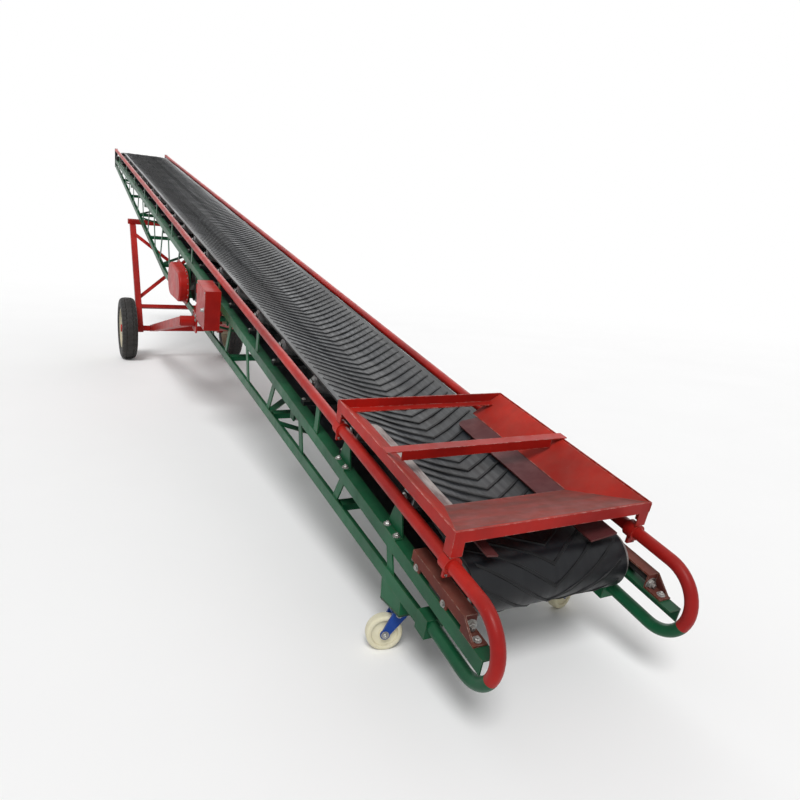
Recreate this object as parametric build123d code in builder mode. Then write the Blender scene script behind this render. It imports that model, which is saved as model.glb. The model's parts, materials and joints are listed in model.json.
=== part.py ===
import os
from math import asin, atan2, cos, degrees, hypot, radians, sin, sqrt, tan
from build123d import *

os.makedirs("parts", exist_ok=True)

# Driving dimensions of the boom, millimetres and degrees
incline = 12.26
rail_height = 456.0
rail_spacing = 720.0
rail_d = 42.4
bend_radius = 122.0
bend_u = -156.0
bend_split = 112.0
head_u = 10290.0
seat_gap = 0.3

# Truss of angle bars and flat lattice bars
chord_leg = 50.0
chord_wall = 5.0
chord_half_width = 375.0
upper_chord_top = -130.0
lower_tail_u = 80.0
lower_tail_w = -288.0
lower_apex_u = 5280.0
lower_apex_w = -585.0
lower_head_w = -246.0
strut_width = 40.0
strut_wall = 6.0
strut_first_u = 322.0
strut_pitch = 472.0
strut_lean = 21.5
strut_least = 60.0
tie_width = 40.0
tie_height = 30.0
tie_pitch = 944.0
diagonal_wall = 6.0
diagonal_inset = 70.0
collar_length = 60.0
head_bar_wall = 10.0
head_bar_width = 40.0
weld_inset = 12.0
weld_reach = 2.0

# Brackets between the upper chords and the rails
bracket_wall = 6.0
bracket_width = 40.0
bracket_first_u = 1090.0
bracket_pitch = 950.0
bracket_foot = 110.0
wide_bracket_us = (355.0, 812.0)
wide_bracket_v = 347.0
bracket_v = 370.0

# Belt with three-roller trough
belt_width = 600.0
belt_centre = 200.0
belt_wall = 10.0
rib_height = 5.0
rib_pitch = 66.0
rib_width = 12.0
rib_angle = 32.0
rib_half_span = 272.0
trough_angle = 10.0
pulley_d = 176.0
pulley_w = -113.0
tail_pulley_u = 36.0
head_pulley_set = 120.0
head_pulley_u = head_u - head_pulley_set
pulley_face = 630.0
pulley_shaft_d = 28.0
shaft_inset = 10.0
transition_start = 110.0
transition_length = 230.0

# Idlers
roller_d = 76.0
roller_length = 185.0
roller_shaft_d = 17.0
idler_first_u = 395.0
idler_pitch = 486.0
idler_bar = 40.0
idler_bar_height = 20.0
idler_plate = 6.0
return_roller_d = 60.0
return_roller_face = 640.0
return_plate = 8.0
return_us = (1500.0, 2900.0, 5700.0, 7100.0, 8500.0)
hanger_width = 50.0

# Mid drive: drum inside the loop with two snub rollers
drum_d = 220.0
drum_u = 4125.0
drum_w = -368.0
snub_d = 76.0
snub_offset = 215.0
drum_shaft_d = 50.0
motor_u = 4440.0
motor_rise = 51.3
motor_d = 150.0
motor_length = 300.0
guard_depth = 70.0
guard_drum_r = 120.0
guard_motor_r = 138.0
guard_flange = 20.0
guard_flange_wall = 5.0
drum_plate_half = 80.0
motor_half = 105.0
motor_bar = 30.0
motor_shaft_d = 32.0
motor_set = 30.0

# Hopper
hopper_start = -8.0
hopper_length = 893.0
hopper_half_width = 378.0
hopper_rise_tail = 118.0
hopper_rise_head = 114.0
hopper_angle = 40.0
hopper_wall = 4.0
plate_wall = 3.0
plate_foot_v = 255.0
plate_foot_w = 25.0
plate_tail_run = 248.0
plate_side_draw = 1.7
plate_tail_draw = 3.0
plate_overrun = 50.0
skirt_wall = 6.0
skirt_start = -15.0
skirt_end = 840.0
skirt_corner = 40.0
mid_bar_u = 455.0
mid_bar_overhang = 12.0
mid_leg_half = 318.0
mid_leg_drop = -32.0
clamp_wall = 8.0
clamp_width = 40.0
clamp_play = 1.0

# Take-up at the tail
take_up_start = -124.0
take_up_end = 184.0
take_up_top = -77.0
take_up_low = -112.0
take_up_foot = -190.0
take_up_wall = 6.0
take_up_depth = 46.0
take_up_tab = 36.0
take_up_tab_us = (-38.0, 130.0)
block_length = 80.0
screw_d = 18.0

# Control box
box_u = 2900.0
box_length = 272.0
box_top = -55.0
box_height = 260.0
box_depth = 95.0
box_wall = 2.0
door_wall = 4.0
hinge_d = 10.0
hinge_pin_d = 5.0
hinge_length = 30.0
hinge_inset = 60.0
gland_d = 20.5
door_play = 2.0

# Undercarriage
arm_pin_u = 3680.0
arm_pin_set = -14.4
arm_pin_d = 40.0
arm_width = 100.0
arm_depth = 70.0
arm_plate = 10.0
arm_straight = 140.0
arm_foot_v = 345.0
arm_foot_width = 80.0
arm_eye_r = 40.0
pin_head_d = 64.0
pin_head = 8.0
bracket_half = 75.0
bracket_corner = 12.0
pin_play = 1.0
axle_u = 6422.0
axle_d = 60.0
axle_bar = 60.0
axle_cap_wall = 10.0
axle_cap_d = 84.0
post_inner_v = 414.0
post_width = 64.0
post_depth = 60.0
post_eye_r = 45.0
side_clearance = 5.0
beam_u = 7245.0
beam_size = 50.0
beam_half_length = 497.0
tie_size = 40.0
brace_width = 40.0
brace_wall = 6.0
brace_high_share = 0.125
brace_low_share = 0.72
brace_tie_share = 0.80
pin_clearance = 0.3

# Road wheels
tyre_d = 685.0
tyre_width = 160.0
tyre_shoulder = 45.0
rim_d = 456.0
rim_wall = 12.0
rim_width = 116.0
disc_wall = 8.0
disc_set = 36.0
hub_d = 110.0
hub_inset = 20.0
wheel_v = 579.0
rim_hole_d = 52.0
rim_hole_pcd = 300.0
rim_hole_count = 8

# Casters
caster_d = 125.0
caster_width = 38.0
caster_edge = 7.0
caster_v = 336.0
caster_y = 328.0
caster_trail = 50.0
caster_turn = 165.0
caster_pin_d = 12.0
caster_plate_top = 160.0
caster_plate = 6.0
caster_plate_length = 140.0
caster_plate_width = 80.0
caster_bearing_d = 64.0
caster_bearing = 12.0
fork_wall = 5.0
fork_play = 3.0
gusset_width = 50.0
king_pin_d = 14.0
crown_wall = 6.0
crown_half = 30.0
fork_eye_r = 17.0

# Frames: the boom's own plane, and side planes across it
tail_y = bend_u * cos(radians(incline)) + bend_radius * sin(radians(incline)) - bend_radius - rail_d / 2
head_y = head_u * cos(radians(incline)) - lower_head_w * sin(radians(incline))
shift_y = (tail_y + head_y) / 2
along = Vector(0, cos(radians(incline)), sin(radians(incline)))
above = Vector(0, -sin(radians(incline)), cos(radians(incline)))
boom = Plane(origin=(0, -shift_y, rail_height), x_dir=(1, 0, 0), z_dir=above)


def side_plane(v):
    """Plane across the boom at v, its x along the boom and its y square to it."""
    return Plane(origin=boom.from_local_coords(Vector(v, 0, 0)), x_dir=along, z_dir=(1, 0, 0))


def cross_plane(u):
    """Plane square to the boom at u, its x to the right and its y up."""
    return Plane(origin=boom.from_local_coords(Vector(0, u, 0)), x_dir=(1, 0, 0), z_dir=-along)


def save(builder, name):
    builder.part.label = name
    export_step(builder.part, "parts/" + name + ".step")


def lower_edge(u):
    """Height of the lower chord's lower edge in the boom's frame."""
    if u < lower_apex_u:
        share = (u - lower_tail_u) / (lower_apex_u - lower_tail_u)
        return lower_tail_w + share * (lower_apex_w - lower_tail_w)
    share = (u - lower_apex_u) / (head_u - lower_apex_u)
    return lower_apex_w + share * (lower_head_w - lower_apex_w)


def upper_edge(u):
    """Height of the upper chord's lower edge in the boom's frame."""
    return upper_chord_top - chord_leg


def strip(start, end, width):
    """Corner points of a straight bar seen from the side."""
    run = (Vector(*end) - Vector(*start)).normalized()
    edge = Vector(-run.Y, run.X) * (width / 2)
    a = Vector(*start)
    b = Vector(*end)
    return [(p.X, p.Y) for p in (a - edge, b - edge, b + edge, a + edge)]


def box_between(low, high):
    """Box in the boom's frame between two corners given as (v, u, w)."""
    middle = [(a + b) / 2 for a, b in zip(low, high)]
    with Locations(tuple(middle)):
        Box(*[b - a for a, b in zip(low, high)])


def rod(u, w, v_start, v_end, diameter, mode=Mode.ADD):
    """Round bar or bore across the boom."""
    with BuildSketch(side_plane(v_start)) as section:
        with Locations((u, w)):
            Circle(diameter / 2)
    extrude(section.sketch, amount=v_end - v_start, mode=mode)


sides = (("left", -1), ("right", 1))
rail_v = rail_spacing / 2
rail_r = rail_d / 2
upper_chord_low = upper_edge(0)
flange_inner = chord_half_width - chord_leg
leg_inner = chord_half_width - chord_wall
bend_w = -bend_radius
bend_inner = bend_radius - rail_r
tail_tube_w = -2 * bend_radius
upper_tail_u = bend_u - sqrt(bend_inner**2 - (upper_chord_low - bend_w) ** 2) + weld_reach

# Trusses: angle chords, the lower one in two lengths, with leaning flat bars inside their legs
# No bar stands where the drum's bearing plate joins the chords
strut_count = int((head_u - strut_first_u) / strut_pitch)
strut_outer = leg_inner - seat_gap
strut_inner = strut_outer - strut_wall
strut_top = upper_chord_top - chord_wall - weld_inset
lattice = []
for i in range(strut_count):
    middle_u = strut_first_u + i * strut_pitch
    middle_foot = lower_edge(middle_u) + chord_wall
    lean = tan(radians(strut_lean)) * (strut_top - middle_foot) / 2 * (-1 if i % 2 else 1)
    strut_foot = max(lower_edge(middle_u - lean), lower_edge(middle_u)) + chord_wall + weld_inset
    if strut_top - strut_foot > strut_least and abs(middle_u - drum_u) > drum_plate_half:
        lattice.append(strip((middle_u - lean, strut_foot), (middle_u + lean, strut_top), strut_width))
chord_end_u = head_u - head_bar_wall
flange_rise = chord_leg - chord_wall
# columns are start, end, line of the lower edge, height of the flange above it
chord_table = (
    (lower_tail_u, lower_apex_u - seat_gap / 2, lower_edge, 0.0),
    (lower_apex_u + seat_gap / 2, chord_end_u, lower_edge, 0.0),
    (upper_tail_u, chord_end_u, upper_edge, flange_rise),
)
for name, s in sides:
    with BuildPart() as truss:
        for start, end, edge_line, rise in chord_table:
            for low, high, depth in ((0.0, chord_leg, chord_wall), (rise, rise + chord_wall, chord_leg)):
                with BuildSketch(side_plane(s * chord_half_width)):
                    Polygon((start, edge_line(start) + low), (end, edge_line(end) + low),
                            (end, edge_line(end) + high), (start, edge_line(start) + high), align=None)
                extrude(amount=depth, dir=(-s, 0, 0))
        with BuildSketch(side_plane(s * strut_outer)):
            for outline in lattice:
                Polygon(*outline, align=None)
        extrude(amount=strut_wall, dir=(-s, 0, 0))
    save(truss, "truss_" + name)

# Cross ties between the lower chords
tie_count = int((head_u - strut_first_u) / tie_pitch)
tie_half = flange_inner + chord_leg / 2
with BuildPart(boom) as ties:
    for i in range(tie_count):
        u = strut_first_u + (i + 0.5) * tie_pitch
        foot = max(lower_edge(u - tie_width / 2), lower_edge(u + tie_width / 2)) + chord_wall
        box_between((-tie_half, u - tie_width / 2, foot), (tie_half, u + tie_width / 2, foot + tie_height))
    # flat diagonals in zigzag between the ties, none across the motor's bars or the chords' apex
    for i in range(tie_count - 1):
        start = strut_first_u + (i + 0.5) * tie_pitch
        end = start + tie_pitch
        if start < motor_u < end or start < lower_apex_u < end:
            continue
        run = Vector(end - start, lower_edge(end) - lower_edge(start)).normalized()
        reach = tie_pitch / 2 / run.X - diagonal_inset
        side = -1 if i % 2 else 1
        middle = ((start + end) / 2, (lower_edge(start) + lower_edge(end)) / 2 + chord_wall)
        origin = boom.from_local_coords(Vector(0, *middle))
        chord_up = above * run.X - along * run.Y
        with BuildSketch(Plane(origin=origin, x_dir=(1, 0, 0), z_dir=chord_up)):
            Polygon(*strip((side * tie_half, -reach), (-side * tie_half, reach), tie_width), align=None)
        extrude(amount=diagonal_wall)
save(ties, "cross_ties")

# Side rails: red tube with the tail bend, then the green return tube
collar_foot = lower_tail_w
collar_top = tail_tube_w + rail_r + chord_wall
tube_end_u = lower_tail_u - collar_length / 2
for name, s in sides:
    with BuildPart() as rail:
        with BuildLine(side_plane(s * rail_v)) as route:
            Line((head_u - head_bar_wall, 0), (bend_u, 0))
            CenterArc((bend_u, bend_w), bend_radius, 90, bend_split)
        with BuildSketch(Plane(origin=route.line @ 0, z_dir=route.line % 0)):
            Circle(rail_r)
        sweep()
    save(rail, "side_rail_" + name)
with BuildPart() as tail_tubes:
    for name, s in sides:
        with BuildLine(side_plane(s * rail_v)) as route:
            CenterArc((bend_u, bend_w), bend_radius, 90 + bend_split, 180 - bend_split)
            Line((bend_u, tail_tube_w), (tube_end_u, tail_tube_w))
        with BuildSketch(Plane(origin=route.line @ 0, z_dir=route.line % 0)):
            Circle(rail_r)
        sweep()
save(tail_tubes, "tail_tubes")

# Collars that join the return tubes to the lower chords
with BuildPart(boom) as collars:
    for name, s in sides:
        edges = sorted((s * flange_inner, s * (rail_v + rail_r + chord_wall)))
        box_between((edges[0], lower_tail_u - collar_length, collar_foot),
                    (edges[1], lower_tail_u, collar_top))
        with BuildSketch(cross_plane(lower_tail_u - collar_length)):
            with Locations((s * rail_v, tail_tube_w)):
                Circle(rail_r + seat_gap)
        extrude(amount=-collar_length / 2 - seat_gap, mode=Mode.SUBTRACT)
save(collars, "tail_collars")

# End bars that close the rails and chords at the head
with BuildPart(boom) as head_bars:
    for name, s in sides:
        middle = s * rail_v
        box_between((middle - head_bar_width / 2, head_u - head_bar_wall, lower_head_w),
                    (middle + head_bar_width / 2, head_u, rail_r))
save(head_bars, "head_end_bars")

# Brackets that carry the rails, columns are u, width at the foot and middle of the plate across
bracket_count = int((head_u - bracket_first_u) / bracket_pitch) + 1
bracket_table = [(u, bracket_foot, wide_bracket_v) for u in wide_bracket_us]
for i in range(bracket_count):
    bracket_table.append((bracket_first_u + i * bracket_pitch, bracket_width, bracket_v))
with BuildPart(boom) as brackets:
    for name, s in sides:
        for u, foot, middle_v in bracket_table:
            off_centre = abs(middle_v - rail_v) - bracket_wall / 2
            top = -sqrt(rail_r**2 - off_centre**2) - seat_gap
            with BuildSketch(side_plane(s * middle_v - bracket_wall / 2)):
                Polygon((u - foot / 2, upper_chord_top), (u + foot / 2, upper_chord_top),
                        (u + bracket_width / 2, top), (u - bracket_width / 2, top), align=None)
            extrude(amount=bracket_wall)
        for u in wide_bracket_us:
            edges = sorted((s * wide_bracket_v, s * chord_half_width))
            box_between((edges[0], u - bracket_foot / 2, upper_chord_top),
                        (edges[1], u + bracket_foot / 2, upper_chord_top + bracket_wall))
save(brackets, "rail_brackets")

# Belt loop: circles in travel order, columns are u, w, radius, turn (1 with the loop, -1 against it)
pulley_r = pulley_d / 2
belt_run_w = pulley_w + pulley_r
return_w = pulley_w - pulley_r
snub_r = snub_d / 2
snub_w = return_w - belt_wall - rib_height - seat_gap - snub_r
loop_table = (
    ("tail", tail_pulley_u, pulley_w, pulley_r, 1),
    ("head", head_pulley_u, pulley_w, pulley_r, 1),
    ("snub", drum_u + snub_offset, snub_w, snub_r, -1),
    ("drum", drum_u, drum_w, drum_d / 2, 1),
    ("snub", drum_u - snub_offset, snub_w, snub_r, -1),
)


def loop_outline(out):
    """Draw the loop's closed line at a distance out from the pulleys' faces."""
    circles = []
    for kind, u, w, radius, turn in loop_table:
        reach = radius + out if turn > 0 else radius + belt_wall + rib_height + 2 * seat_gap - out
        circles.append((Vector(u, w), reach, turn))
    headings = []
    for i, (centre, radius, turn) in enumerate(circles):
        other, other_radius, other_turn = circles[(i + 1) % len(circles)]
        gap = other - centre
        headings.append(atan2(gap.Y, gap.X) + asin((other_turn * other_radius - turn * radius) / gap.length))
    for i, (centre, radius, turn) in enumerate(circles):
        other, other_radius, other_turn = circles[(i + 1) % len(circles)]
        entry = headings[i - 1]
        leave = headings[i]
        sweep_angle = (turn * (entry - leave)) % radians(360)
        points = []
        for heading in (entry, entry - turn * sweep_angle / 2, leave):
            points.append(centre + Vector(-sin(heading), cos(heading)) * (turn * radius))
        ThreePointArc(*points)
        target = other + Vector(-sin(leave), cos(leave)) * (other_turn * other_radius)
        Line(points[2], target)


def wing_points(angle, s):
    """Section of one belt wing at one trough angle, as (v, w) points."""
    wing = (belt_width - belt_centre) / 2
    fold = s * belt_centre / 2
    edge = fold + s * wing * cos(radians(angle))
    rise = wing * sin(radians(angle))
    face = belt_run_w + seat_gap
    return [(fold, face), (edge, face + rise), (edge, face + rise + belt_wall), (fold, face + belt_wall)]


flat_tail_u = tail_pulley_u + transition_start
flat_head_u = head_pulley_u - transition_start
trough_tail_u = flat_tail_u + transition_length
trough_head_u = flat_head_u - transition_length
belt_middle_w = belt_run_w + seat_gap + belt_wall / 2
with BuildPart() as belt:
    with BuildSketch(side_plane(-belt_width / 2)):
        with BuildLine():
            loop_outline(seat_gap + belt_wall)
        make_face()
        with BuildLine():
            loop_outline(seat_gap)
        make_face(mode=Mode.SUBTRACT)
        with Locations(((flat_tail_u + flat_head_u) / 2, belt_middle_w)):
            Rectangle(flat_head_u - flat_tail_u, 2 * belt_wall, mode=Mode.SUBTRACT)
    extrude(amount=belt_width)
    with BuildSketch(cross_plane(flat_tail_u)):
        with Locations((0, belt_middle_w)):
            Rectangle(belt_centre, belt_wall)
    extrude(amount=-(flat_head_u - flat_tail_u))
    for name, s in sides:
        with BuildSketch(cross_plane(trough_tail_u)):
            Polygon(*wing_points(trough_angle, s), align=None)
        extrude(amount=-(trough_head_u - trough_tail_u))
        for flat_u, trough_u in ((flat_tail_u, trough_tail_u), (flat_head_u, trough_head_u)):
            with BuildSketch(cross_plane(flat_u)):
                Polygon(*wing_points(0, s), align=None)
            with BuildSketch(cross_plane(trough_u)):
                Polygon(*wing_points(trough_angle, s), align=None)
            loft(ruled=True)
save(belt, "belt")

# Chevron ribs on the belt's carrying run, their points towards the tail
rib_run = rib_half_span * tan(radians(rib_angle))
rib_length = rib_width / cos(radians(rib_angle))
rib_count = int((trough_head_u - trough_tail_u - rib_run - rib_length) / rib_pitch) + 1
rib_seat = belt_run_w + 2 * seat_gap + belt_wall
rib_rise = (rib_half_span - belt_centre / 2) * tan(radians(trough_angle))
rib_section = ((-rib_half_span, rib_rise), (-belt_centre / 2, 0),
               (belt_centre / 2, 0), (rib_half_span, rib_rise))
rib_floor = [(v, rib_seat + rise) for v, rise in rib_section]
rib_crest = [(v, rib_seat + rise + rib_height) for v, rise in reversed(rib_section)]
with BuildPart() as ribs:
    with BuildSketch(boom.offset(rib_seat)):
        for i in range(rib_count):
            u = trough_tail_u + i * rib_pitch
            Polygon((0, u), (rib_half_span, u + rib_run), (rib_half_span, u + rib_run + rib_length),
                    (0, u + rib_length), (-rib_half_span, u + rib_run + rib_length),
                    (-rib_half_span, u + rib_run), align=None)
    extrude(amount=rib_rise + rib_height)
    with BuildSketch(cross_plane(trough_tail_u)):
        Polygon(*rib_floor, *rib_crest, align=None)
    extrude(amount=-(trough_head_u - trough_tail_u), mode=Mode.INTERSECT)
save(ribs, "belt_ribs")

# Head and tail pulleys on their shafts, columns are node and u
bearing_v = chord_half_width - take_up_wall - seat_gap
shaft_half = bearing_v - shaft_inset
for name, u in (("tail_pulley", tail_pulley_u), ("head_pulley", head_pulley_u)):
    with BuildPart() as pulley:
        rod(u, pulley_w, -pulley_face / 2, pulley_face / 2, pulley_d)
        rod(u, pulley_w, -shaft_half, shaft_half, pulley_shaft_d)
    save(pulley, name)

# Take-up rails at the tail: an angle on tabs over each upper chord, with a tapered bracket at its end
block_foot = upper_chord_top + seat_gap
block_top = take_up_top - take_up_wall - seat_gap
with BuildPart(boom) as take_ups:
    for name, s in sides:
        flange = sorted((s * chord_half_width, s * (chord_half_width - take_up_depth)))
        web = sorted((s * chord_half_width, s * (chord_half_width - take_up_wall)))
        # columns are the pair across, start and end along, foot and top
        plate_table = [
            (web, take_up_start, take_up_end, take_up_low, take_up_top),
            (flange, take_up_start, take_up_end, take_up_top - take_up_wall, take_up_top),
            (flange, take_up_start, take_up_start + take_up_wall, upper_chord_top, take_up_top),
            (flange, take_up_foot, take_up_start, upper_chord_top, upper_chord_top + take_up_wall),
        ]
        plate_table += [(web, u, u + take_up_tab, upper_chord_top, take_up_top) for u in take_up_tab_us]
        for across, start, end, foot, top in plate_table:
            box_between((across[0], start, foot), (across[1], end, top))
        with BuildSketch(side_plane(s * chord_half_width)):
            Polygon((take_up_start, upper_chord_top), (take_up_start, take_up_top),
                    (take_up_foot, upper_chord_top), align=None)
        extrude(amount=take_up_wall, dir=(-s, 0, 0))
save(take_ups, "take_up_channels")

# Bearing blocks of the tail shaft with their adjusting screws
block_inner = chord_half_width - take_up_depth
screw_w = (block_foot + block_top) / 2
screw_start = take_up_start + take_up_wall + seat_gap
with BuildPart(boom) as tail_blocks:
    for name, s in sides:
        edges = sorted((s * bearing_v, s * block_inner))
        box_between((edges[0], tail_pulley_u - block_length / 2, block_foot),
                    (edges[1], tail_pulley_u + block_length / 2, block_top))
        with BuildSketch(cross_plane(screw_start)):
            with Locations((s * (bearing_v + block_inner) / 2, screw_w)):
                Circle(screw_d / 2)
        extrude(amount=-(tail_pulley_u - block_length / 2 - screw_start))
    rod(tail_pulley_u, pulley_w, -shaft_half - seat_gap, shaft_half + seat_gap,
        pulley_shaft_d + 2 * seat_gap, mode=Mode.SUBTRACT)
save(tail_blocks, "tail_bearing_blocks")

# Pillow blocks of the head shaft on the upper chords
with BuildPart(boom) as head_blocks:
    for name, s in sides:
        edges = sorted((s * bearing_v, s * block_inner))
        box_between((edges[0], head_pulley_u - block_length / 2, upper_chord_top),
                    (edges[1], head_pulley_u + block_length / 2, take_up_top))
    rod(head_pulley_u, pulley_w, -shaft_half - seat_gap, shaft_half + seat_gap,
        pulley_shaft_d + 2 * seat_gap, mode=Mode.SUBTRACT)
save(head_blocks, "head_bearing_blocks")

# Trough idlers: a crossbar, four upright plates and three rollers each
idler_count = int((trough_head_u - idler_first_u) / idler_pitch) + 1
idler_us = [idler_first_u + i * idler_pitch for i in range(idler_count)]
idler_top = upper_chord_top + idler_bar_height
idler_half = wide_bracket_v - bracket_wall / 2 - side_clearance
trough = radians(trough_angle)
belt_under = belt_run_w + seat_gap
roller_r = roller_d / 2
centre_axis_w = belt_under - roller_r - seat_gap
inner_plate_v = belt_centre / 2
wing_room = (roller_length + 2 * seat_gap) * cos(trough) + roller_d * sin(trough)
outer_plate_v = inner_plate_v + idler_plate + wing_room
wing_mid_v = (inner_plate_v + idler_plate + outer_plate_v) / 2
wing_along = (wing_mid_v - belt_centre / 2 - (roller_r + seat_gap) * sin(trough)) / cos(trough)
wing_mid_w = belt_under + wing_along * sin(trough) - (roller_r + seat_gap) * cos(trough)
inner_plate_top = centre_axis_w + roller_shaft_d
outer_plate_top = wing_mid_w + (outer_plate_v - wing_mid_v) * tan(trough) + roller_shaft_d
with BuildPart(boom) as idler_brackets:
    for u in idler_us:
        box_between((-idler_half, u - idler_bar / 2, upper_chord_top),
                    (idler_half, u + idler_bar / 2, idler_top))
        for plate_v, plate_top in ((inner_plate_v, inner_plate_top), (outer_plate_v, outer_plate_top)):
            for name, s in sides:
                edges = sorted((s * plate_v, s * (plate_v + idler_plate)))
                box_between((edges[0], u - idler_bar / 2, idler_top),
                            (edges[1], u + idler_bar / 2, plate_top))
save(idler_brackets, "idler_brackets")

wing_span = outer_plate_v - inner_plate_v - idler_plate - 2 * seat_gap
wing_shaft = wing_span / cos(trough) - roller_shaft_d * tan(trough)
centre_shaft = 2 * (inner_plate_v - seat_gap)
with BuildPart() as idler_rollers:
    centre_points = [boom.from_local_coords(Vector(0, u, centre_axis_w)) for u in idler_us]
    centre_seats = [Plane(origin=point, z_dir=(1, 0, 0)) for point in centre_points]
    wing_seats = []
    for name, s in sides:
        lean = Vector(cos(trough), 0, 0) + above * (s * sin(trough))
        wing_seats += [Plane(origin=boom.from_local_coords(Vector(s * wing_mid_v, u, wing_mid_w)), z_dir=lean)
                       for u in idler_us]
    with Locations(*centre_seats):
        Cylinder(roller_r, roller_length)
        Cylinder(roller_shaft_d / 2, centre_shaft)
    with Locations(*wing_seats):
        Cylinder(roller_r, roller_length)
        Cylinder(roller_shaft_d / 2, wing_shaft)
save(idler_rollers, "idler_rollers")

# Return rollers and snub rollers below the loop, with the hangers that carry them
return_axis_w = return_w - belt_wall - rib_height - 2 * seat_gap - return_roller_d / 2
hanger_v = flange_inner + seat_gap
hanger_top = upper_chord_top - chord_wall
roller_table = [(u, return_axis_w, return_roller_d) for u in return_us]
roller_table += [(drum_u + step * snub_offset, snub_w, snub_d) for step in (-1, 1)]
with BuildPart() as low_rollers:
    for u, w, diameter in roller_table:
        rod(u, w, -return_roller_face / 2, return_roller_face / 2, diameter)
        rod(u, w, -hanger_v + seat_gap, hanger_v - seat_gap, roller_shaft_d)
save(low_rollers, "return_rollers")
with BuildPart(boom) as hangers:
    for u, w, diameter in roller_table:
        for name, s in sides:
            edges = sorted((s * hanger_v, s * (hanger_v + return_plate)))
            box_between((edges[0], u - hanger_width / 2, w - hanger_width / 2),
                        (edges[1], u + hanger_width / 2, hanger_top))
save(hangers, "roller_hangers")

# Drive drum across the trusses, in bearing plates between the chords
drum_plate_v = strut_inner - seat_gap - return_plate
guard_inner_v = chord_half_width + seat_gap
drum_plate_foot = max(lower_edge(drum_u - drum_plate_half), lower_edge(drum_u + drum_plate_half)) + chord_wall
with BuildPart() as drum:
    rod(drum_u, drum_w, -pulley_face / 2, pulley_face / 2, drum_d)
    rod(drum_u, drum_w, -guard_inner_v + 2 * seat_gap, drum_plate_v + return_plate, drum_shaft_d)
save(drum, "drive_drum")
with BuildPart(boom) as drum_plates:
    for name, s in sides:
        edges = sorted((s * drum_plate_v, s * (drum_plate_v + return_plate)))
        box_between((edges[0], drum_u - drum_plate_half, drum_plate_foot),
                    (edges[1], drum_u + drum_plate_half, hanger_top))
    rod(drum_u, drum_w, -chord_half_width, chord_half_width, drum_shaft_d + 2 * seat_gap, mode=Mode.SUBTRACT)
save(drum_plates, "drum_plates")

# Motor on its bracket between the lower chords, and the rounded guard over the chain
motor_inner_v = -drum_plate_v + motor_set
bracket_bar_foot = max(lower_edge(motor_u - motor_half), lower_edge(motor_u + motor_half)) + chord_wall
motor_seat = bracket_bar_foot + motor_rise + return_plate
motor_w = motor_seat + seat_gap + motor_d / 2
with BuildPart() as motor:
    rod(motor_u, motor_w, motor_inner_v, motor_inner_v + motor_length, motor_d)
    rod(motor_u, motor_w, -guard_inner_v + 2 * seat_gap, motor_inner_v, motor_shaft_d)
save(motor, "motor")
with BuildPart(boom) as motor_bracket:
    for step in (-1, 1):
        u = motor_u + step * (motor_half - motor_bar / 2)
        box_between((-drum_plate_v, u - motor_bar / 2, bracket_bar_foot),
                    (drum_plate_v, u + motor_bar / 2, motor_seat - return_plate))
    box_between((motor_inner_v, motor_u - motor_half, motor_seat - return_plate),
                (motor_inner_v + motor_length, motor_u + motor_half, motor_seat))
save(motor_bracket, "motor_bracket")
drum_centre = Vector(drum_u, drum_w)
motor_centre = Vector(motor_u, motor_w)
guard_run = motor_centre - drum_centre
guard_ahead = guard_run.normalized()
guard_lean = atan2(guard_run.Y, guard_run.X)
guard_slope = asin((guard_drum_r - guard_motor_r) / guard_run.length)


def guard_outline(extra):
    """Draw the guard's rounded outline, wider by extra all round."""
    drum_reach = guard_drum_r + extra
    motor_reach = guard_motor_r + extra
    ends = []
    for turn in (1, -1):
        heading = guard_lean + turn * (radians(90) - guard_slope)
        ray = Vector(cos(heading), sin(heading))
        ends.append((drum_centre + ray * drum_reach, motor_centre + ray * motor_reach))
    Line(*ends[0])
    ThreePointArc(ends[0][1], motor_centre + guard_ahead * motor_reach, ends[1][1])
    Line(ends[1][1], ends[1][0])
    ThreePointArc(ends[1][0], drum_centre - guard_ahead * drum_reach, ends[0][0])


with BuildPart() as guard:
    with BuildSketch(side_plane(-guard_inner_v)):
        with BuildLine():
            guard_outline(0)
        make_face()
    extrude(amount=guard_depth, dir=(-1, 0, 0))
    fillet(guard.faces().sort_by(Axis.X)[0].edges(), guard_depth / 4)
    with BuildSketch(side_plane(-guard_inner_v)):
        with BuildLine():
            guard_outline(guard_flange)
        make_face()
    extrude(amount=guard_flange_wall, dir=(-1, 0, 0))
save(guard, "drive_guard")

# Hopper: angle-iron frame on four legs, with a bar across its middle
hopper_tilt = atan2(hopper_rise_tail - hopper_rise_head, hopper_length)
hopper_up = above * cos(hopper_tilt) + along * sin(hopper_tilt)
hopper_origin = boom.from_local_coords(Vector(0, hopper_start, hopper_rise_tail))
hopper = Plane(origin=hopper_origin, x_dir=(1, 0, 0), z_dir=hopper_up)
clamp_r = rail_r + seat_gap + clamp_wall
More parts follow.
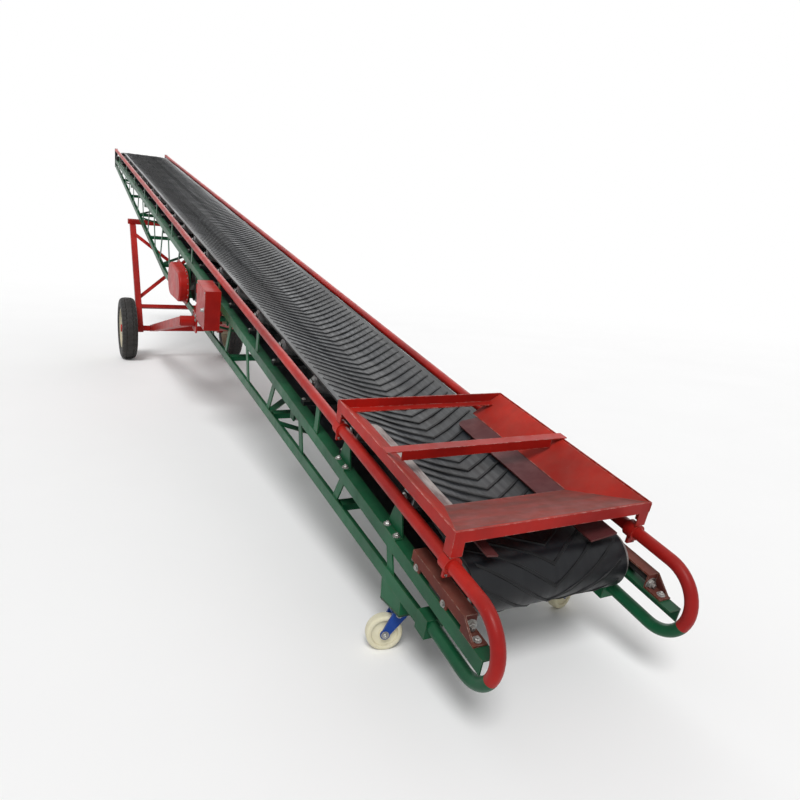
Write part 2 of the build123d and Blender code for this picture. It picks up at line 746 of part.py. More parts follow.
# columns are a leg's start along the hopper, start of its cross leg, and drop
leg_table = (
    (0.0, 0.0, hopper_rise_tail - clamp_r - clamp_play),
    (hopper_length - hopper_angle, hopper_length - hopper_wall, hopper_rise_head - clamp_r - clamp_play),
)
with BuildPart(hopper) as hopper_frame:
    inner_half = hopper_half_width - hopper_wall
    with BuildSketch(hopper):
        with Locations((0, hopper_length / 2)):
            Rectangle(2 * hopper_half_width, hopper_length)
            Rectangle(2 * inner_half, hopper_length - 2 * hopper_wall, mode=Mode.SUBTRACT)
    extrude(amount=-hopper_angle)
    with BuildSketch(hopper):
        with Locations((0, hopper_length / 2)):
            Rectangle(2 * hopper_half_width, hopper_length)
            Rectangle(2 * (hopper_half_width - hopper_angle), hopper_length - 2 * hopper_angle,
                      mode=Mode.SUBTRACT)
    extrude(amount=-hopper_wall)
    for start, face, drop in leg_table:
        for name, s in sides:
            edges = sorted((s * hopper_half_width, s * inner_half))
            wide = sorted((s * hopper_half_width, s * (hopper_half_width - hopper_angle)))
            box_between((edges[0], start, -drop), (edges[1], start + hopper_angle, 0))
            box_between((wide[0], face, -drop), (wide[1], face + hopper_wall, 0))
    mid_bar_end = hopper_half_width + mid_bar_overhang
    box_between((-hopper_half_width, mid_bar_u, 0), (mid_bar_end, mid_bar_u + hopper_angle, hopper_wall))
    box_between((-mid_leg_half, mid_bar_u, mid_leg_drop),
                (mid_leg_half, mid_bar_u + hopper_wall, hopper_wall))
save(hopper_frame, "hopper_frame")

# Sloping hopper plates, open towards the head
plate_top_half = inner_half - seat_gap
plate_end = hopper_length - hopper_wall - plate_wall
side_inset = plate_wall * plate_side_draw
tail_inset = plate_wall * plate_tail_draw
with BuildPart() as hopper_plates:
    for side, tail, overrun, mode in ((0, 0, 0, Mode.ADD),
                                      (side_inset, tail_inset, plate_overrun, Mode.SUBTRACT)):
        finish = plate_end + overrun
        # columns are plane, offset of the section from the hopper's start, its half width and its start
        section_table = (
            (hopper.offset(-hopper_wall - seat_gap), 0.0, plate_top_half - side,
             hopper_wall + seat_gap + tail),
            (boom.offset(plate_foot_w), hopper_start, plate_foot_v - side, plate_tail_run + tail),
        )
        for plane, base, half, start in section_table:
            with BuildSketch(plane):
                with Locations((0, base + (start + finish) / 2)):
                    Rectangle(2 * half, finish - start)
        loft(ruled=True, mode=mode)
save(hopper_plates, "hopper_plates")

# Rubber skirts that hang from the plates' feet over the belt's wings, columns are side and free edge
skirt_table = ((-1, 215.0), (1, 150.0))
skirt_reach = (plate_foot_v - belt_centre / 2) / cos(trough) - clamp_play
skirt_drop = skirt_wall / cos(trough) + (plate_foot_v - belt_centre / 2) * tan(trough)
skirt_base_w = plate_foot_w - seat_gap - skirt_drop
with BuildPart() as skirts:
    for s, free_edge in skirt_table:
        skirt_width = (plate_foot_v - free_edge) / cos(trough)
        lean = Vector(s * cos(trough), 0, 0) + above * sin(trough)
        origin = boom.from_local_coords(Vector(s * belt_centre / 2, 0, skirt_base_w))
        with BuildSketch(Plane(origin=origin, x_dir=lean, z_dir=lean.cross(along) * s)) as flap:
            with Locations((skirt_reach - skirt_width / 2, s * (skirt_start + skirt_end) / 2)):
                Rectangle(skirt_width, skirt_end - skirt_start)
            free_corner = (skirt_reach - skirt_width, s * skirt_end)
            corner = flap.vertices().sort_by_distance(free_corner)[0]
            fillet(corner, min(skirt_corner, skirt_width / 2))
        extrude(amount=skirt_wall)
save(skirts, "hopper_skirts")

# Clamps of the hopper legs on the rails
clamp_us = (hopper_start + hopper_angle / 2, hopper_start + hopper_length - hopper_angle / 2)
with BuildPart() as clamps:
    for u in clamp_us:
        with BuildSketch(cross_plane(u - clamp_width / 2)):
            for name, s in sides:
                with Locations((s * rail_v, 0)):
                    Circle(clamp_r)
                    Circle(rail_r + seat_gap, mode=Mode.SUBTRACT)
        extrude(amount=-clamp_width)
save(clamps, "hopper_clamps")

# Control box, open on its outer face, with hinge pins and a cable hole in its floor
box_back_v = -chord_half_width - seat_gap
box_face_v = box_back_v - box_depth
box_foot = box_top - box_height
box_end = box_u + box_length
door_inner_v = box_face_v - seat_gap
hinge_u = box_end + hinge_d / 2
hinge_v = door_inner_v - door_wall / 2
hinge_ws = (box_top - hinge_inset, box_foot + hinge_inset)
with BuildPart(boom) as control_box:
    box_between((box_face_v, box_u, box_foot), (box_back_v, box_end, box_top))
    room = (box_depth - box_wall, box_length - 2 * box_wall, box_height - 2 * box_wall)
    with Locations((box_face_v + room[0] / 2, (box_u + box_end) / 2, (box_foot + box_top) / 2)):
        Box(*room, mode=Mode.SUBTRACT)
    with Locations((box_back_v - box_depth / 2, box_u + box_length / 2, box_foot)):
        Cylinder(gland_d / 2, 4 * box_wall, mode=Mode.SUBTRACT)
    for hinge_w in hinge_ws:
        box_between((hinge_v, box_end, hinge_w - hinge_length), (box_face_v + hinge_d, hinge_u, hinge_w))
        with Locations((hinge_v, hinge_u, hinge_w - hinge_length / 2)):
            Cylinder(hinge_d / 2, hinge_length)
        with Locations((hinge_v, hinge_u, hinge_w)):
            Cylinder(hinge_pin_d / 2, 2 * hinge_length)
save(control_box, "control_box")

# Door of the control box with its hinge knuckles
door_end = box_end - door_play
with BuildPart(boom) as door:
    box_between((door_inner_v - door_wall, box_u, box_foot), (door_inner_v, door_end, box_top))
    for hinge_w in hinge_ws:
        knuckle_foot = hinge_w + seat_gap
        box_between((door_inner_v - door_wall, door_end, knuckle_foot),
                    (door_inner_v, hinge_u, knuckle_foot + hinge_length))
        with Locations((hinge_v, hinge_u, knuckle_foot + hinge_length / 2)):
            Cylinder(hinge_d / 2, hinge_length)
            Cylinder(hinge_pin_d / 2 + seat_gap, 2 * hinge_length, mode=Mode.SUBTRACT)
save(door, "control_box_door")

# Brackets with pins on the lower chords, where the front arms hinge
wheel_r = tyre_d / 2
arm_pin_w = lower_edge(arm_pin_u) + arm_pin_set
axle_w = (wheel_r - rail_height - axle_u * sin(radians(incline))) / cos(radians(incline))
arm_inner_v = chord_half_width + arm_plate + pin_play
arm_outer_v = arm_inner_v + arm_width
pin_outer_v = arm_outer_v + pin_play + pin_head
with BuildPart() as arm_brackets:
    for name, s in sides:
        with BuildSketch(side_plane(s * chord_half_width)):
            with Locations((arm_pin_u, arm_pin_w)):
                RectangleRounded(2 * bracket_half, 2 * bracket_half, bracket_corner)
        extrude(amount=arm_plate, dir=(s, 0, 0))
        rod(arm_pin_u, arm_pin_w, s * (chord_half_width + arm_plate), s * pin_outer_v, arm_pin_d)
        rod(arm_pin_u, arm_pin_w, s * (pin_outer_v - pin_head), s * pin_outer_v, pin_head_d)
save(arm_brackets, "arm_brackets")

# Front arms from those pins, drawn in towards the axle bar
pin_centre = Vector(arm_pin_u, arm_pin_w)
axle_centre = Vector(axle_u, axle_w)
arm_run = (axle_centre - pin_centre).normalized()
arm_span = (axle_centre - pin_centre).length
arm_reach = arm_span - axle_bar / 2 - seat_gap
arm_tangent = along * arm_run.X + above * arm_run.Y
arm_origin = boom.from_local_coords(Vector(0, arm_pin_u, arm_pin_w))
arm_plane = Plane(origin=arm_origin, x_dir=(1, 0, 0), z_dir=Vector(1, 0, 0).cross(arm_tangent))
arm_outline = ((arm_inner_v, 0), (arm_outer_v, 0), (arm_foot_v, arm_reach),
               (arm_foot_v - arm_foot_width, arm_reach), (arm_inner_v, arm_straight))
for name, s in sides:
    with BuildPart() as arm:
        with BuildSketch(arm_plane.offset(-arm_depth / 2)):
            Polygon(*[(s * v, run) for v, run in arm_outline], align=None)
        extrude(amount=arm_depth)
        rod(arm_pin_u, arm_pin_w, s * arm_inner_v, s * arm_outer_v, 2 * arm_eye_r)
        rod(arm_pin_u, arm_pin_w, s * arm_inner_v, s * arm_outer_v, arm_pin_d + 2 * pin_clearance,
            mode=Mode.SUBTRACT)
    save(arm, "front_arm_" + name)

# Axle: a square bar behind the arms, round stub ends and end caps
post_outer_v = post_inner_v + post_width
hub_inner_v = post_outer_v + side_clearance
hub_outer_v = wheel_v + tyre_width / 2 - hub_inset
cap_inner_v = hub_outer_v + pin_play
cap_outer_v = cap_inner_v + axle_cap_wall
with BuildPart(arm_plane) as axle:
    with Locations((0, arm_span, 0)):
        Box(2 * (post_inner_v - side_clearance), axle_bar, axle_bar)
    rod(axle_u, axle_w, -cap_outer_v, cap_outer_v, axle_d)
    for name, s in sides:
        rod(axle_u, axle_w, s * cap_inner_v, s * cap_outer_v, axle_cap_d)
save(axle, "axle_beam")

# Rear strut frame: posts on the axle, a beam under the lower chords, a tie and crossed braces
chord_run = Vector(head_u - lower_apex_u, lower_head_w - lower_apex_w).normalized()
chord_normal = Vector(-chord_run.Y, chord_run.X)
beam_seat = Vector(beam_u, lower_edge(beam_u)) - chord_normal * seat_gap
beam_centre = beam_seat - chord_normal * (beam_size / 2)
beam_under = beam_seat - chord_normal * beam_size
post_run = (beam_centre - axle_centre).normalized()
post_edge = Vector(-post_run.Y, post_run.X) * (post_depth / 2)


def post_top(corner):
    """Where one edge of the post meets the beam's underside."""
    reach = (beam_under - corner).dot(chord_normal) / post_run.dot(chord_normal)
    return corner + post_run * reach


post_corners = [axle_centre - post_edge, post_top(axle_centre - post_edge), post_top(axle_centre + post_edge),
                axle_centre + post_edge]
for name, s in sides:
    with BuildPart() as post:
        with BuildSketch(side_plane(s * post_inner_v)):
            Polygon(*[(p.X, p.Y) for p in post_corners], align=None)
            with Locations((axle_u, axle_w)):
                Circle(post_eye_r)
                Circle(axle_d / 2 + pin_clearance, mode=Mode.SUBTRACT)
        extrude(amount=post_width, dir=(s, 0, 0))
    save(post, "strut_post_" + name)

post_length = (beam_centre - axle_centre).length
post_tangent = along * post_run.X + above * post_run.Y
post_origin = boom.from_local_coords(Vector(0, axle_u, axle_w))
post_plane = Plane(origin=post_origin, x_dir=(1, 0, 0), z_dir=Vector(1, 0, 0).cross(post_tangent))
with BuildPart() as strut_bars:
    with BuildSketch(side_plane(-beam_half_length)):
        Polygon(*strip(tuple(beam_centre - chord_run * (beam_size / 2))[:2],
                       tuple(beam_centre + chord_run * (beam_size / 2))[:2], beam_size), align=None)
    extrude(amount=2 * beam_half_length)
    with Locations(post_plane * Pos(0, post_length * (1 - brace_tie_share), 0)):
        Box(2 * post_inner_v, tie_size, tie_size)
save(strut_bars, "strut_crossbars")
brace_v = (post_inner_v + post_outer_v) / 2
brace_high = post_length * (1 - brace_high_share)
brace_low = post_length * (1 - brace_low_share)
with BuildPart() as braces:
    for turn in (1, -1):
        with BuildSketch(post_plane.offset(turn * post_depth / 2)):
            brace_bar = strip((-turn * brace_v, brace_high), (turn * brace_v, brace_low), brace_width)
            Polygon(*brace_bar, align=None)
        extrude(amount=turn * brace_wall)
save(braces, "strut_braces")

# Road wheels: smooth tyre on a pierced disc rim
rim_r = rim_d / 2
for name, s in sides:
    wheel_centre = boom.from_local_coords(Vector(s * wheel_v, axle_u, axle_w))
    wheel_plane = Plane(origin=wheel_centre, x_dir=(s, 0, 0), z_dir=along.cross(Vector(s, 0, 0)))
    with BuildPart() as tyre:
        with BuildSketch(wheel_plane) as section:
            with Locations((0, (wheel_r + rim_r) / 2)):
                Rectangle(tyre_width, wheel_r - rim_r)
            fillet(section.vertices().group_by(Axis.Y)[-1], tyre_shoulder)
        revolve(axis=Axis(wheel_centre, (1, 0, 0)))
    save(tyre, "tyre_" + name)
    with BuildPart() as rim:
        barrel_r = rim_r - seat_gap
        hub_start = hub_inner_v - wheel_v
        hub_end = hub_outer_v - wheel_v
        # columns are start and end across the wheel, inner and outer radius
        rim_table = (
            (-rim_width / 2, rim_width / 2, barrel_r - rim_wall, barrel_r),
            (disc_set, disc_set + disc_wall, hub_d / 2 - 1, barrel_r - 1),
            (hub_start, hub_end, axle_d / 2 + pin_clearance, hub_d / 2),
        )
        with BuildSketch(wheel_plane):
            for start, end, inner, outer in rim_table:
                with Locations(((start + end) / 2, (inner + outer) / 2)):
                    Rectangle(end - start, outer - inner)
        revolve(axis=Axis(wheel_centre, (1, 0, 0)))
        with BuildSketch(Plane(origin=wheel_centre, z_dir=(s, 0, 0))):
            with PolarLocations(rim_hole_pcd / 2, rim_hole_count):
                Circle(rim_hole_d / 2)
        extrude(amount=rim_width, mode=Mode.SUBTRACT)
    save(rim, "rim_" + name)

# Casters: gusset wedge under the chord, bolted plate with king pin, fork and wheel
chord_tail = boom.from_local_coords(Vector(0, lower_tail_u, lower_tail_w))
chord_apex = boom.from_local_coords(Vector(0, lower_apex_u, lower_apex_w))
chord_slope = (chord_apex.Z - chord_tail.Z) / (chord_apex.Y - chord_tail.Y)
caster_row_y = caster_y - shift_y
gusset_ends = (caster_row_y - caster_plate_length / 2, caster_row_y + caster_plate_length / 2)
gusset_heights = [chord_tail.Z + (y - chord_tail.Y) * chord_slope for y in gusset_ends]
gusset_outline = ((gusset_ends[0], caster_plate_top), (gusset_ends[1], caster_plate_top),
                  (gusset_ends[1], gusset_heights[1]), (gusset_ends[0], gusset_heights[0]))
plate_under = caster_plate_top - caster_plate
crown_top = plate_under - 2 * seat_gap - caster_bearing
with BuildPart() as gussets:
    for name, s in sides:
        inner = min(s * flange_inner, s * chord_half_width)
        with BuildSketch(Plane(origin=(inner, 0, 0), x_dir=(0, 1, 0), z_dir=(1, 0, 0))):
            Polygon(*gusset_outline, align=None)
        extrude(amount=gusset_width)
save(gussets, "caster_gussets")
with BuildPart() as caster_plates:
    for name, s in sides:
        with BuildSketch(Plane.XY.offset(plate_under)):
            with Locations((s * caster_v, caster_row_y)):
                Rectangle(caster_plate_width, caster_plate_length)
        extrude(amount=caster_plate)
        with BuildSketch(Plane.XY.offset(crown_top - crown_wall)):
            with Locations((s * caster_v, caster_row_y)):
                Circle(king_pin_d / 2)
        extrude(amount=plate_under - crown_top + crown_wall)
save(caster_plates, "caster_plates")
caster_r = caster_d / 2
cheek_v = caster_width / 2 + fork_play
for name, s in sides:
    trail = Vector(-s * cos(radians(caster_turn)), sin(radians(caster_turn)), 0)
    fork_plane = Plane(origin=(s * caster_v, caster_row_y, 0), x_dir=trail, z_dir=(0, 0, 1))
    cheek_plane = Plane(origin=fork_plane.origin, x_dir=trail, z_dir=trail.cross(Vector(0, 0, 1)))
    hub_point = (caster_trail, caster_r)
    with BuildPart(fork_plane) as fork:
        with Locations((0, 0, crown_top - crown_wall / 2)):
            Box(2 * crown_half, 2 * (cheek_v + fork_wall), crown_wall)
        with Locations((0, 0, crown_top + caster_bearing / 2)):
            Cylinder(caster_bearing_d / 2, caster_bearing)
        for turn in (-1, 1):
            with BuildSketch(cheek_plane.offset(turn * cheek_v)):
                Polygon((-crown_half, crown_top - crown_wall), (crown_half, crown_top - crown_wall),
                        (caster_trail + fork_eye_r, caster_r), (caster_trail - fork_eye_r, caster_r),
                        align=None)
                with Locations(hub_point):
                    Circle(fork_eye_r)
            extrude(amount=turn * fork_wall)
        with BuildSketch(cheek_plane.offset(-cheek_v - fork_wall)):
            with Locations(hub_point):
                Circle(caster_pin_d / 2)
        extrude(amount=2 * (cheek_v + fork_wall))
        with Locations((0, 0, crown_top)):
            Cylinder(king_pin_d / 2 + seat_gap, 4 * caster_bearing, mode=Mode.SUBTRACT)
    save(fork, "caster_fork_" + name)
    with BuildPart() as caster_wheel:
        with BuildSketch(cheek_plane.offset(-caster_width / 2)):
            with Locations(hub_point):
                Circle(caster_r)
        extrude(amount=caster_width)
        fillet(caster_wheel.edges(), caster_edge)
        with BuildSketch(cheek_plane.offset(-cheek_v + seat_gap)):
            with Locations(hub_point):
                Circle(fork_eye_r)
        extrude(amount=2 * (cheek_v - seat_gap))
        with BuildSketch(cheek_plane.offset(-cheek_v)):
            with Locations(hub_point):
                Circle(caster_pin_d / 2 + seat_gap)
        extrude(amount=2 * cheek_v, mode=Mode.SUBTRACT)
    save(caster_wheel, "caster_wheel_" + name)
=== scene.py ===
import bpy
import json
import numpy as np
from math import radians, sin, cos, tan, pi
from mathutils import Matrix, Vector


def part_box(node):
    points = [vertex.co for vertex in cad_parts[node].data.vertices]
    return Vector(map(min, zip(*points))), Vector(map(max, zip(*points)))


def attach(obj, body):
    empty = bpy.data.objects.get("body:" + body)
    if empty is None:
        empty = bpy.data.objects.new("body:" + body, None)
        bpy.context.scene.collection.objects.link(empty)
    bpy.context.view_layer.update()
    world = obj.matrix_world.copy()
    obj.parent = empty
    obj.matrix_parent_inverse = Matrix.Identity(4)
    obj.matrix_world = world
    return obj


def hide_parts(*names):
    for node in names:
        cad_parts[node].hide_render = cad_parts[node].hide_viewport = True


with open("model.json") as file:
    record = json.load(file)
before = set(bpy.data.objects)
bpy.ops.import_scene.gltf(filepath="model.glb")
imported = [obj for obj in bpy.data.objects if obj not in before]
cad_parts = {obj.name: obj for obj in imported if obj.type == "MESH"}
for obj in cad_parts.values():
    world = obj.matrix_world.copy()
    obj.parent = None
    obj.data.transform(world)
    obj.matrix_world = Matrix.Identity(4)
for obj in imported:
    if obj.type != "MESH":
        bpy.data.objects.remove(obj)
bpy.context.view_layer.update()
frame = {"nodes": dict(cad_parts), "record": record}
nodes = frame["nodes"]
print("frame loaded", len(nodes), "nodes")

# the boom's own frame: u along the belt from the hopper, v to the right, w square to the belt
boomFrame = {"incline": radians(12.26), "railHeight": 0.456, "chordLeg": 0.050, "upperTop": -0.130,
             "lowerU": (0.080, 5.280, 10.290), "lowerW": (-0.288, -0.585, -0.246),
             "axleU": 6.422, "axleW": -1.51168, "tyreRadius": 0.3425}
boomCos, boomSin = cos(boomFrame["incline"]), sin(boomFrame["incline"])
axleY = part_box("tyre_left")[0].y + boomFrame["tyreRadius"]
rowShift = axleY - (boomFrame["axleU"] * boomCos - boomFrame["axleW"] * boomSin)
acrossDir = np.array([1.0, 0.0, 0.0])
alongDir = np.array([0.0, boomCos, boomSin])
aboveDir = np.array([0.0, -boomSin, boomCos])


def toRow(v, u, w):  # row = v across, then u and w turned by the incline and lifted to the rail's height
    v, u, w = np.broadcast_arrays(np.asarray(v, float), u, w)
    y = u * boomCos - w * boomSin + rowShift
    return np.stack([v, y, boomFrame["railHeight"] + u * boomSin + w * boomCos], axis=-1)


def lowerEdge(u):  # height of the lower chord's edge: straight from the tail to the apex and on to the head
    return np.interp(u, boomFrame["lowerU"], boomFrame["lowerW"])


# camera at the photograph's view
photoCamera = {"eye": (-1.341, -1.466, 1.292), "yaw": 28.03, "pitch": -11.88, "roll": 3.73,
               "lens": 29.99, "sensor": 36.0, "reach": 200.0}


def makeCamera(c):  # turn = yaw about Z, then pitch about X from level, then roll about the view line
    cam = bpy.data.cameras.new("photoCamera")
    cam.lens = c["lens"]
    cam.sensor_width = c["sensor"]
    cam.clip_end = c["reach"]
    ob = bpy.data.objects.new("photoCamera", cam)
    bpy.context.scene.collection.objects.link(ob)
    turn = Matrix.Rotation(radians(-c["yaw"]), 4, "Z") @ Matrix.Rotation(radians(90 + c["pitch"]), 4, "X")
    turn = turn @ Matrix.Rotation(radians(c["roll"]), 4, "Z")
    ob.matrix_world = Matrix.Translation((c["eye"][0], c["eye"][1] + rowShift, c["eye"][2])) @ turn
    bpy.context.scene.camera = ob


makeCamera(photoCamera)
bpy.context.scene.view_settings.view_transform = "Standard"
print("camera set")


# small node helpers: a value is either a socket to link or a number or colour to set
def feed(tree, value, socket):  # a socket is linked, three numbers become an opaque colour, the rest is set as it is
    if isinstance(value, bpy.types.NodeSocket):
        tree.links.new(value, socket)
    elif isinstance(value, tuple) and len(value) == 3 and socket.type == "RGBA":
        socket.default_value = (*value, 1.0)
    else:
        socket.default_value = value


def newSkin(name):  # an empty tree with one shader joined to the output
    skin = bpy.data.materials.new(name)
    skin.use_nodes = True
    tree = skin.node_tree
    tree.nodes.clear()
    shader = tree.nodes.new("ShaderNodeBsdfPrincipled")
    out = tree.nodes.new("ShaderNodeOutputMaterial")
    tree.links.new(shader.outputs[0], out.inputs[0])
    return skin, tree, shader


def cloud(tree, place, scale, detail=4.0, rough=0.55):  # noise, 0 to 1, around 0.5
    node = tree.nodes.new("ShaderNodeTexNoise")
    feed(tree, place, node.inputs["Vector"])
    node.inputs["Scale"].default_value = scale
    node.inputs["Detail"].default_value = detail
    node.inputs["Roughness"].default_value = rough
    return node.outputs[0]


def spread(tree, value, low, high, toLow=0.0, toHigh=1.0):  # low..high carried to toLow..toHigh, held at the ends
    node = tree.nodes.new("ShaderNodeMapRange")
    for key, number in zip(("Value", "From Min", "From Max", "To Min", "To Max"), (value, low, high, toLow, toHigh)):
        feed(tree, number, node.inputs[key])
    return node.outputs[0]


def sums(tree, kind, a, b):  # a and b added, multiplied or compared, as the kind says
    node = tree.nodes.new("ShaderNodeMath")
    node.operation = kind
    feed(tree, a, node.inputs[0])
    feed(tree, b, node.inputs[1])
    return node.outputs[0]


def tint(tree, share, a, b):  # a where the share is 0, b where it is 1
    node = tree.nodes.new("ShaderNodeMix")
    node.data_type = "RGBA"
    feed(tree, share, node.inputs[0])
    feed(tree, a, node.inputs[6])
    feed(tree, b, node.inputs[7])
    return node.outputs[2]


def stretch(tree, place, scale):  # the pattern's place, longer or shorter along each axis
    node = tree.nodes.new("ShaderNodeMapping")
    feed(tree, place, node.inputs["Vector"])
    node.inputs["Scale"].default_value = scale
    return node.outputs[0]


def relief(tree, height, strength, distance, before=None):  # the normal leans with the height's slope
    node = tree.nodes.new("ShaderNodeBump")
    node.inputs["Strength"].default_value = strength
    node.inputs["Distance"].default_value = distance
    feed(tree, height, node.inputs["Height"])
    if before is not None:
        feed(tree, before, node.inputs["Normal"])
    return node.outputs[0]


def edgeWear(tree, width):  # how far the rounded normal leaves the face's own, so it is high along edges
    bevel = tree.nodes.new("ShaderNodeBevel")
    bevel.samples = 4
    bevel.inputs["Radius"].default_value = width
    face = tree.nodes.new("ShaderNodeNewGeometry")
    dot = tree.nodes.new("ShaderNodeVectorMath")
    dot.operation = "DOT_PRODUCT"
    tree.links.new(bevel.outputs[0], dot.inputs[0])
    tree.links.new(face.outputs["Normal"], dot.inputs[1])
    return spread(tree, dot.outputs["Value"], 0.985, 0.80)


def topSide(tree):  # 1 on faces that look up, 0 on walls, from the piece's own normal
    place = tree.nodes.new("ShaderNodeTexCoord")
    split = tree.nodes.new("ShaderNodeSeparateXYZ")
    tree.links.new(place.outputs["Normal"], split.inputs[0])
    return spread(tree, split.outputs["Z"], 0.25, 0.95)


def placeOf(tree):  # the piece's own coordinates, in metres
    return tree.nodes.new("ShaderNodeTexCoord").outputs["Object"]


# painted steel: colour in soft patches, rain streaks, dust on top faces, paint worn through along edges
paintLooks = {
    "green_paint": {"base": (0.005, 0.100, 0.038), "deep": (0.003, 0.054, 0.022), "worn": (0.17, 0.17, 0.13),
                    "dust": (0.10, 0.14, 0.10), "dustShare": 0.16, "wear": 0.42, "rough": 0.36, "coat": 0.06},
    "red_paint": {"base": (0.430, 0.014, 0.009), "deep": (0.250, 0.008, 0.007), "worn": (0.42, 0.22, 0.16),
                  "dust": (0.36, 0.085, 0.060), "dustShare": 0.16, "wear": 0.40, "rough": 0.36, "coat": 0.06},
    "hopper_plates": {"base": (0.500, 0.022, 0.012), "deep": (0.270, 0.012, 0.008), "worn": (0.44, 0.34, 0.30),
                      "dust": (0.190, 0.070, 0.052), "dustShare": 0.42, "wear": 0.55, "rough": 0.46, "coat": 0.0,
                      "soil": (0.120, 0.036, 0.029)},
    "hopper_frame": {"base": (0.420, 0.013, 0.008), "deep": (0.240, 0.008, 0.006), "worn": (0.56, 0.44, 0.38),
                     "dust": (0.30, 0.070, 0.050), "dustShare": 0.16, "wear": 0.70, "rough": 0.40, "coat": 0.04},
    "dark_steel": {"base": (0.014, 0.018, 0.019), "deep": (0.008, 0.010, 0.011), "worn": (0.16, 0.14, 0.12),
                   "dust": (0.11, 0.105, 0.095), "dustShare": 0.28, "wear": 0.45, "rough": 0.45, "coat": 0.0},
    "caster_plates": {"base": (0.008, 0.050, 0.030), "deep": (0.005, 0.030, 0.019), "worn": (0.24, 0.22, 0.18),
                      "dust": (0.14, 0.15, 0.12), "dustShare": 0.30, "wear": 0.7, "rough": 0.42, "coat": 0.05},
    "brown_primer": {"base": (0.165, 0.036, 0.024), "deep": (0.085, 0.021, 0.016), "worn": (0.44, 0.34, 0.28),
                     "dust": (0.24, 0.125, 0.095), "dustShare": 0.32, "wear": 0.95, "rough": 0.60, "coat": 0.0},
    "cast_block": {"base": (0.050, 0.046, 0.044), "deep": (0.028, 0.026, 0.025), "worn": (0.25, 0.20, 0.16),
                   "dust": (0.15, 0.13, 0.11), "dustShare": 0.30, "wear": 0.6, "rough": 0.64, "coat": 0.0},
    "motor_grey": {"base": (0.040, 0.050, 0.055), "deep": (0.024, 0.030, 0.034), "worn": (0.28, 0.27, 0.25),
                   "dust": (0.18, 0.17, 0.15), "dustShare": 0.36, "wear": 0.5, "rough": 0.42, "coat": 0.05},
    "blue_paint": {"base": (0.009, 0.052, 0.270), "deep": (0.006, 0.032, 0.165), "worn": (0.30, 0.31, 0.33),
                   "dust": (0.16, 0.19, 0.25), "dustShare": 0.22, "wear": 0.55, "rough": 0.34, "coat": 0.08},
    "cream_rim": {"base": (0.600, 0.565, 0.440), "deep": (0.450, 0.405, 0.300), "worn": (0.30, 0.20, 0.13),
                  "dust": (0.36, 0.31, 0.23), "dustShare": 0.35, "wear": 0.45, "rough": 0.44, "coat": 0.05},
    "cream_nylon": {"base": (0.700, 0.665, 0.500), "deep": (0.560, 0.500, 0.330), "worn": (0.40, 0.34, 0.22),
                    "dust": (0.40, 0.35, 0.25), "dustShare": 0.34, "wear": 0.32, "rough": 0.38, "coat": 0.05},
}


def paintSkin(name, look):  # deep to base by patches, then streaks, dust, soil and worn edges laid over in turn
    skin, tree, shader = newSkin(name)
    place = placeOf(tree)
    patches = spread(tree, cloud(tree, place, 3.2, 5.0), 0.36, 0.64)
    grain = cloud(tree, place, 170.0, 2.0)
    streaks = cloud(tree, stretch(tree, place, (34.0, 34.0, 2.5)), 1.0, 3.0)
    streaks = spread(tree, streaks, 0.52, 0.75, 0.0, 0.35)
    colour = tint(tree, patches, look["deep"], look["base"])
    colour = tint(tree, streaks, colour, look["deep"])
    dustCloud = spread(tree, cloud(tree, place, 11.0, 6.0, 0.65), 0.38, 0.66, 0.25, 1.0)
    dust = sums(tree, "MULTIPLY", sums(tree, "MULTIPLY", topSide(tree), dustCloud), look["dustShare"])
    film = spread(tree, cloud(tree, place, 26.0, 5.0, 0.6), 0.55, 0.78, 0.0, look["dustShare"] * 0.45)
    dust = sums(tree, "MAXIMUM", dust, film)
    colour = tint(tree, dust, colour, look["dust"])
    if "soil" in look:  # ground-in dirt on the plate whose face leans towards the head, where the load lands
        lean = tree.nodes.new("ShaderNodeSeparateXYZ")
        tree.links.new(tree.nodes.new("ShaderNodeTexCoord").outputs["Normal"], lean.inputs[0])
        smears = cloud(tree, stretch(tree, place, (4.0, 14.0, 14.0)), 1.0, 5.0, 0.65)
        smears = spread(tree, smears, 0.34, 0.62, 0.45, 0.95)
        soil = sums(tree, "MULTIPLY", spread(tree, lean.outputs["Y"], 0.0, 0.10), smears)
        colour = tint(tree, soil, colour, look["soil"])
    chips = spread(tree, cloud(tree, place, 60.0, 4.0, 0.65), 0.40, 0.60, 0.15, 1.0)
    wear = sums(tree, "MULTIPLY", sums(tree, "MULTIPLY", edgeWear(tree, 0.004), chips), look["wear"])
    scratches = cloud(tree, stretch(tree, place, (9.0, 60.0, 9.0)), 3.0, 4.0, 0.7)
    scratches = spread(tree, scratches, 0.68, 0.74, 0.0, look["wear"] * 0.5)
    wear = sums(tree, "MAXIMUM", wear, scratches)
    rust = tint(tree, spread(tree, cloud(tree, place, 38.0, 3.0), 0.46, 0.58), look["worn"], (0.16, 0.062, 0.028))
    colour = tint(tree, wear, colour, rust)
    feed(tree, colour, shader.inputs["Base Color"])
    sheen = spread(tree, cloud(tree, place, 19.0, 4.0), 0.3, 0.7, look["rough"] - 0.06, look["rough"] + 0.10)
    dulled = sums(tree, "MULTIPLY", sums(tree, "ADD", dust, wear), 0.3)
    feed(tree, sums(tree, "ADD", sheen, dulled), shader.inputs["Roughness"])
    bump = relief(tree, cloud(tree, place, 24.0, 3.0), 0.06, 0.003)
    bump = relief(tree, sums(tree, "SUBTRACT", grain, wear), 0.12, 0.0012, bump)
    feed(tree, bump, shader.inputs["Normal"])
    shader.inputs["Specular IOR Level"].default_value = 0.13
    shader.inputs["Coat Weight"].default_value = look["coat"]
    shader.inputs["Coat Roughness"].default_value = 0.25
    return skin


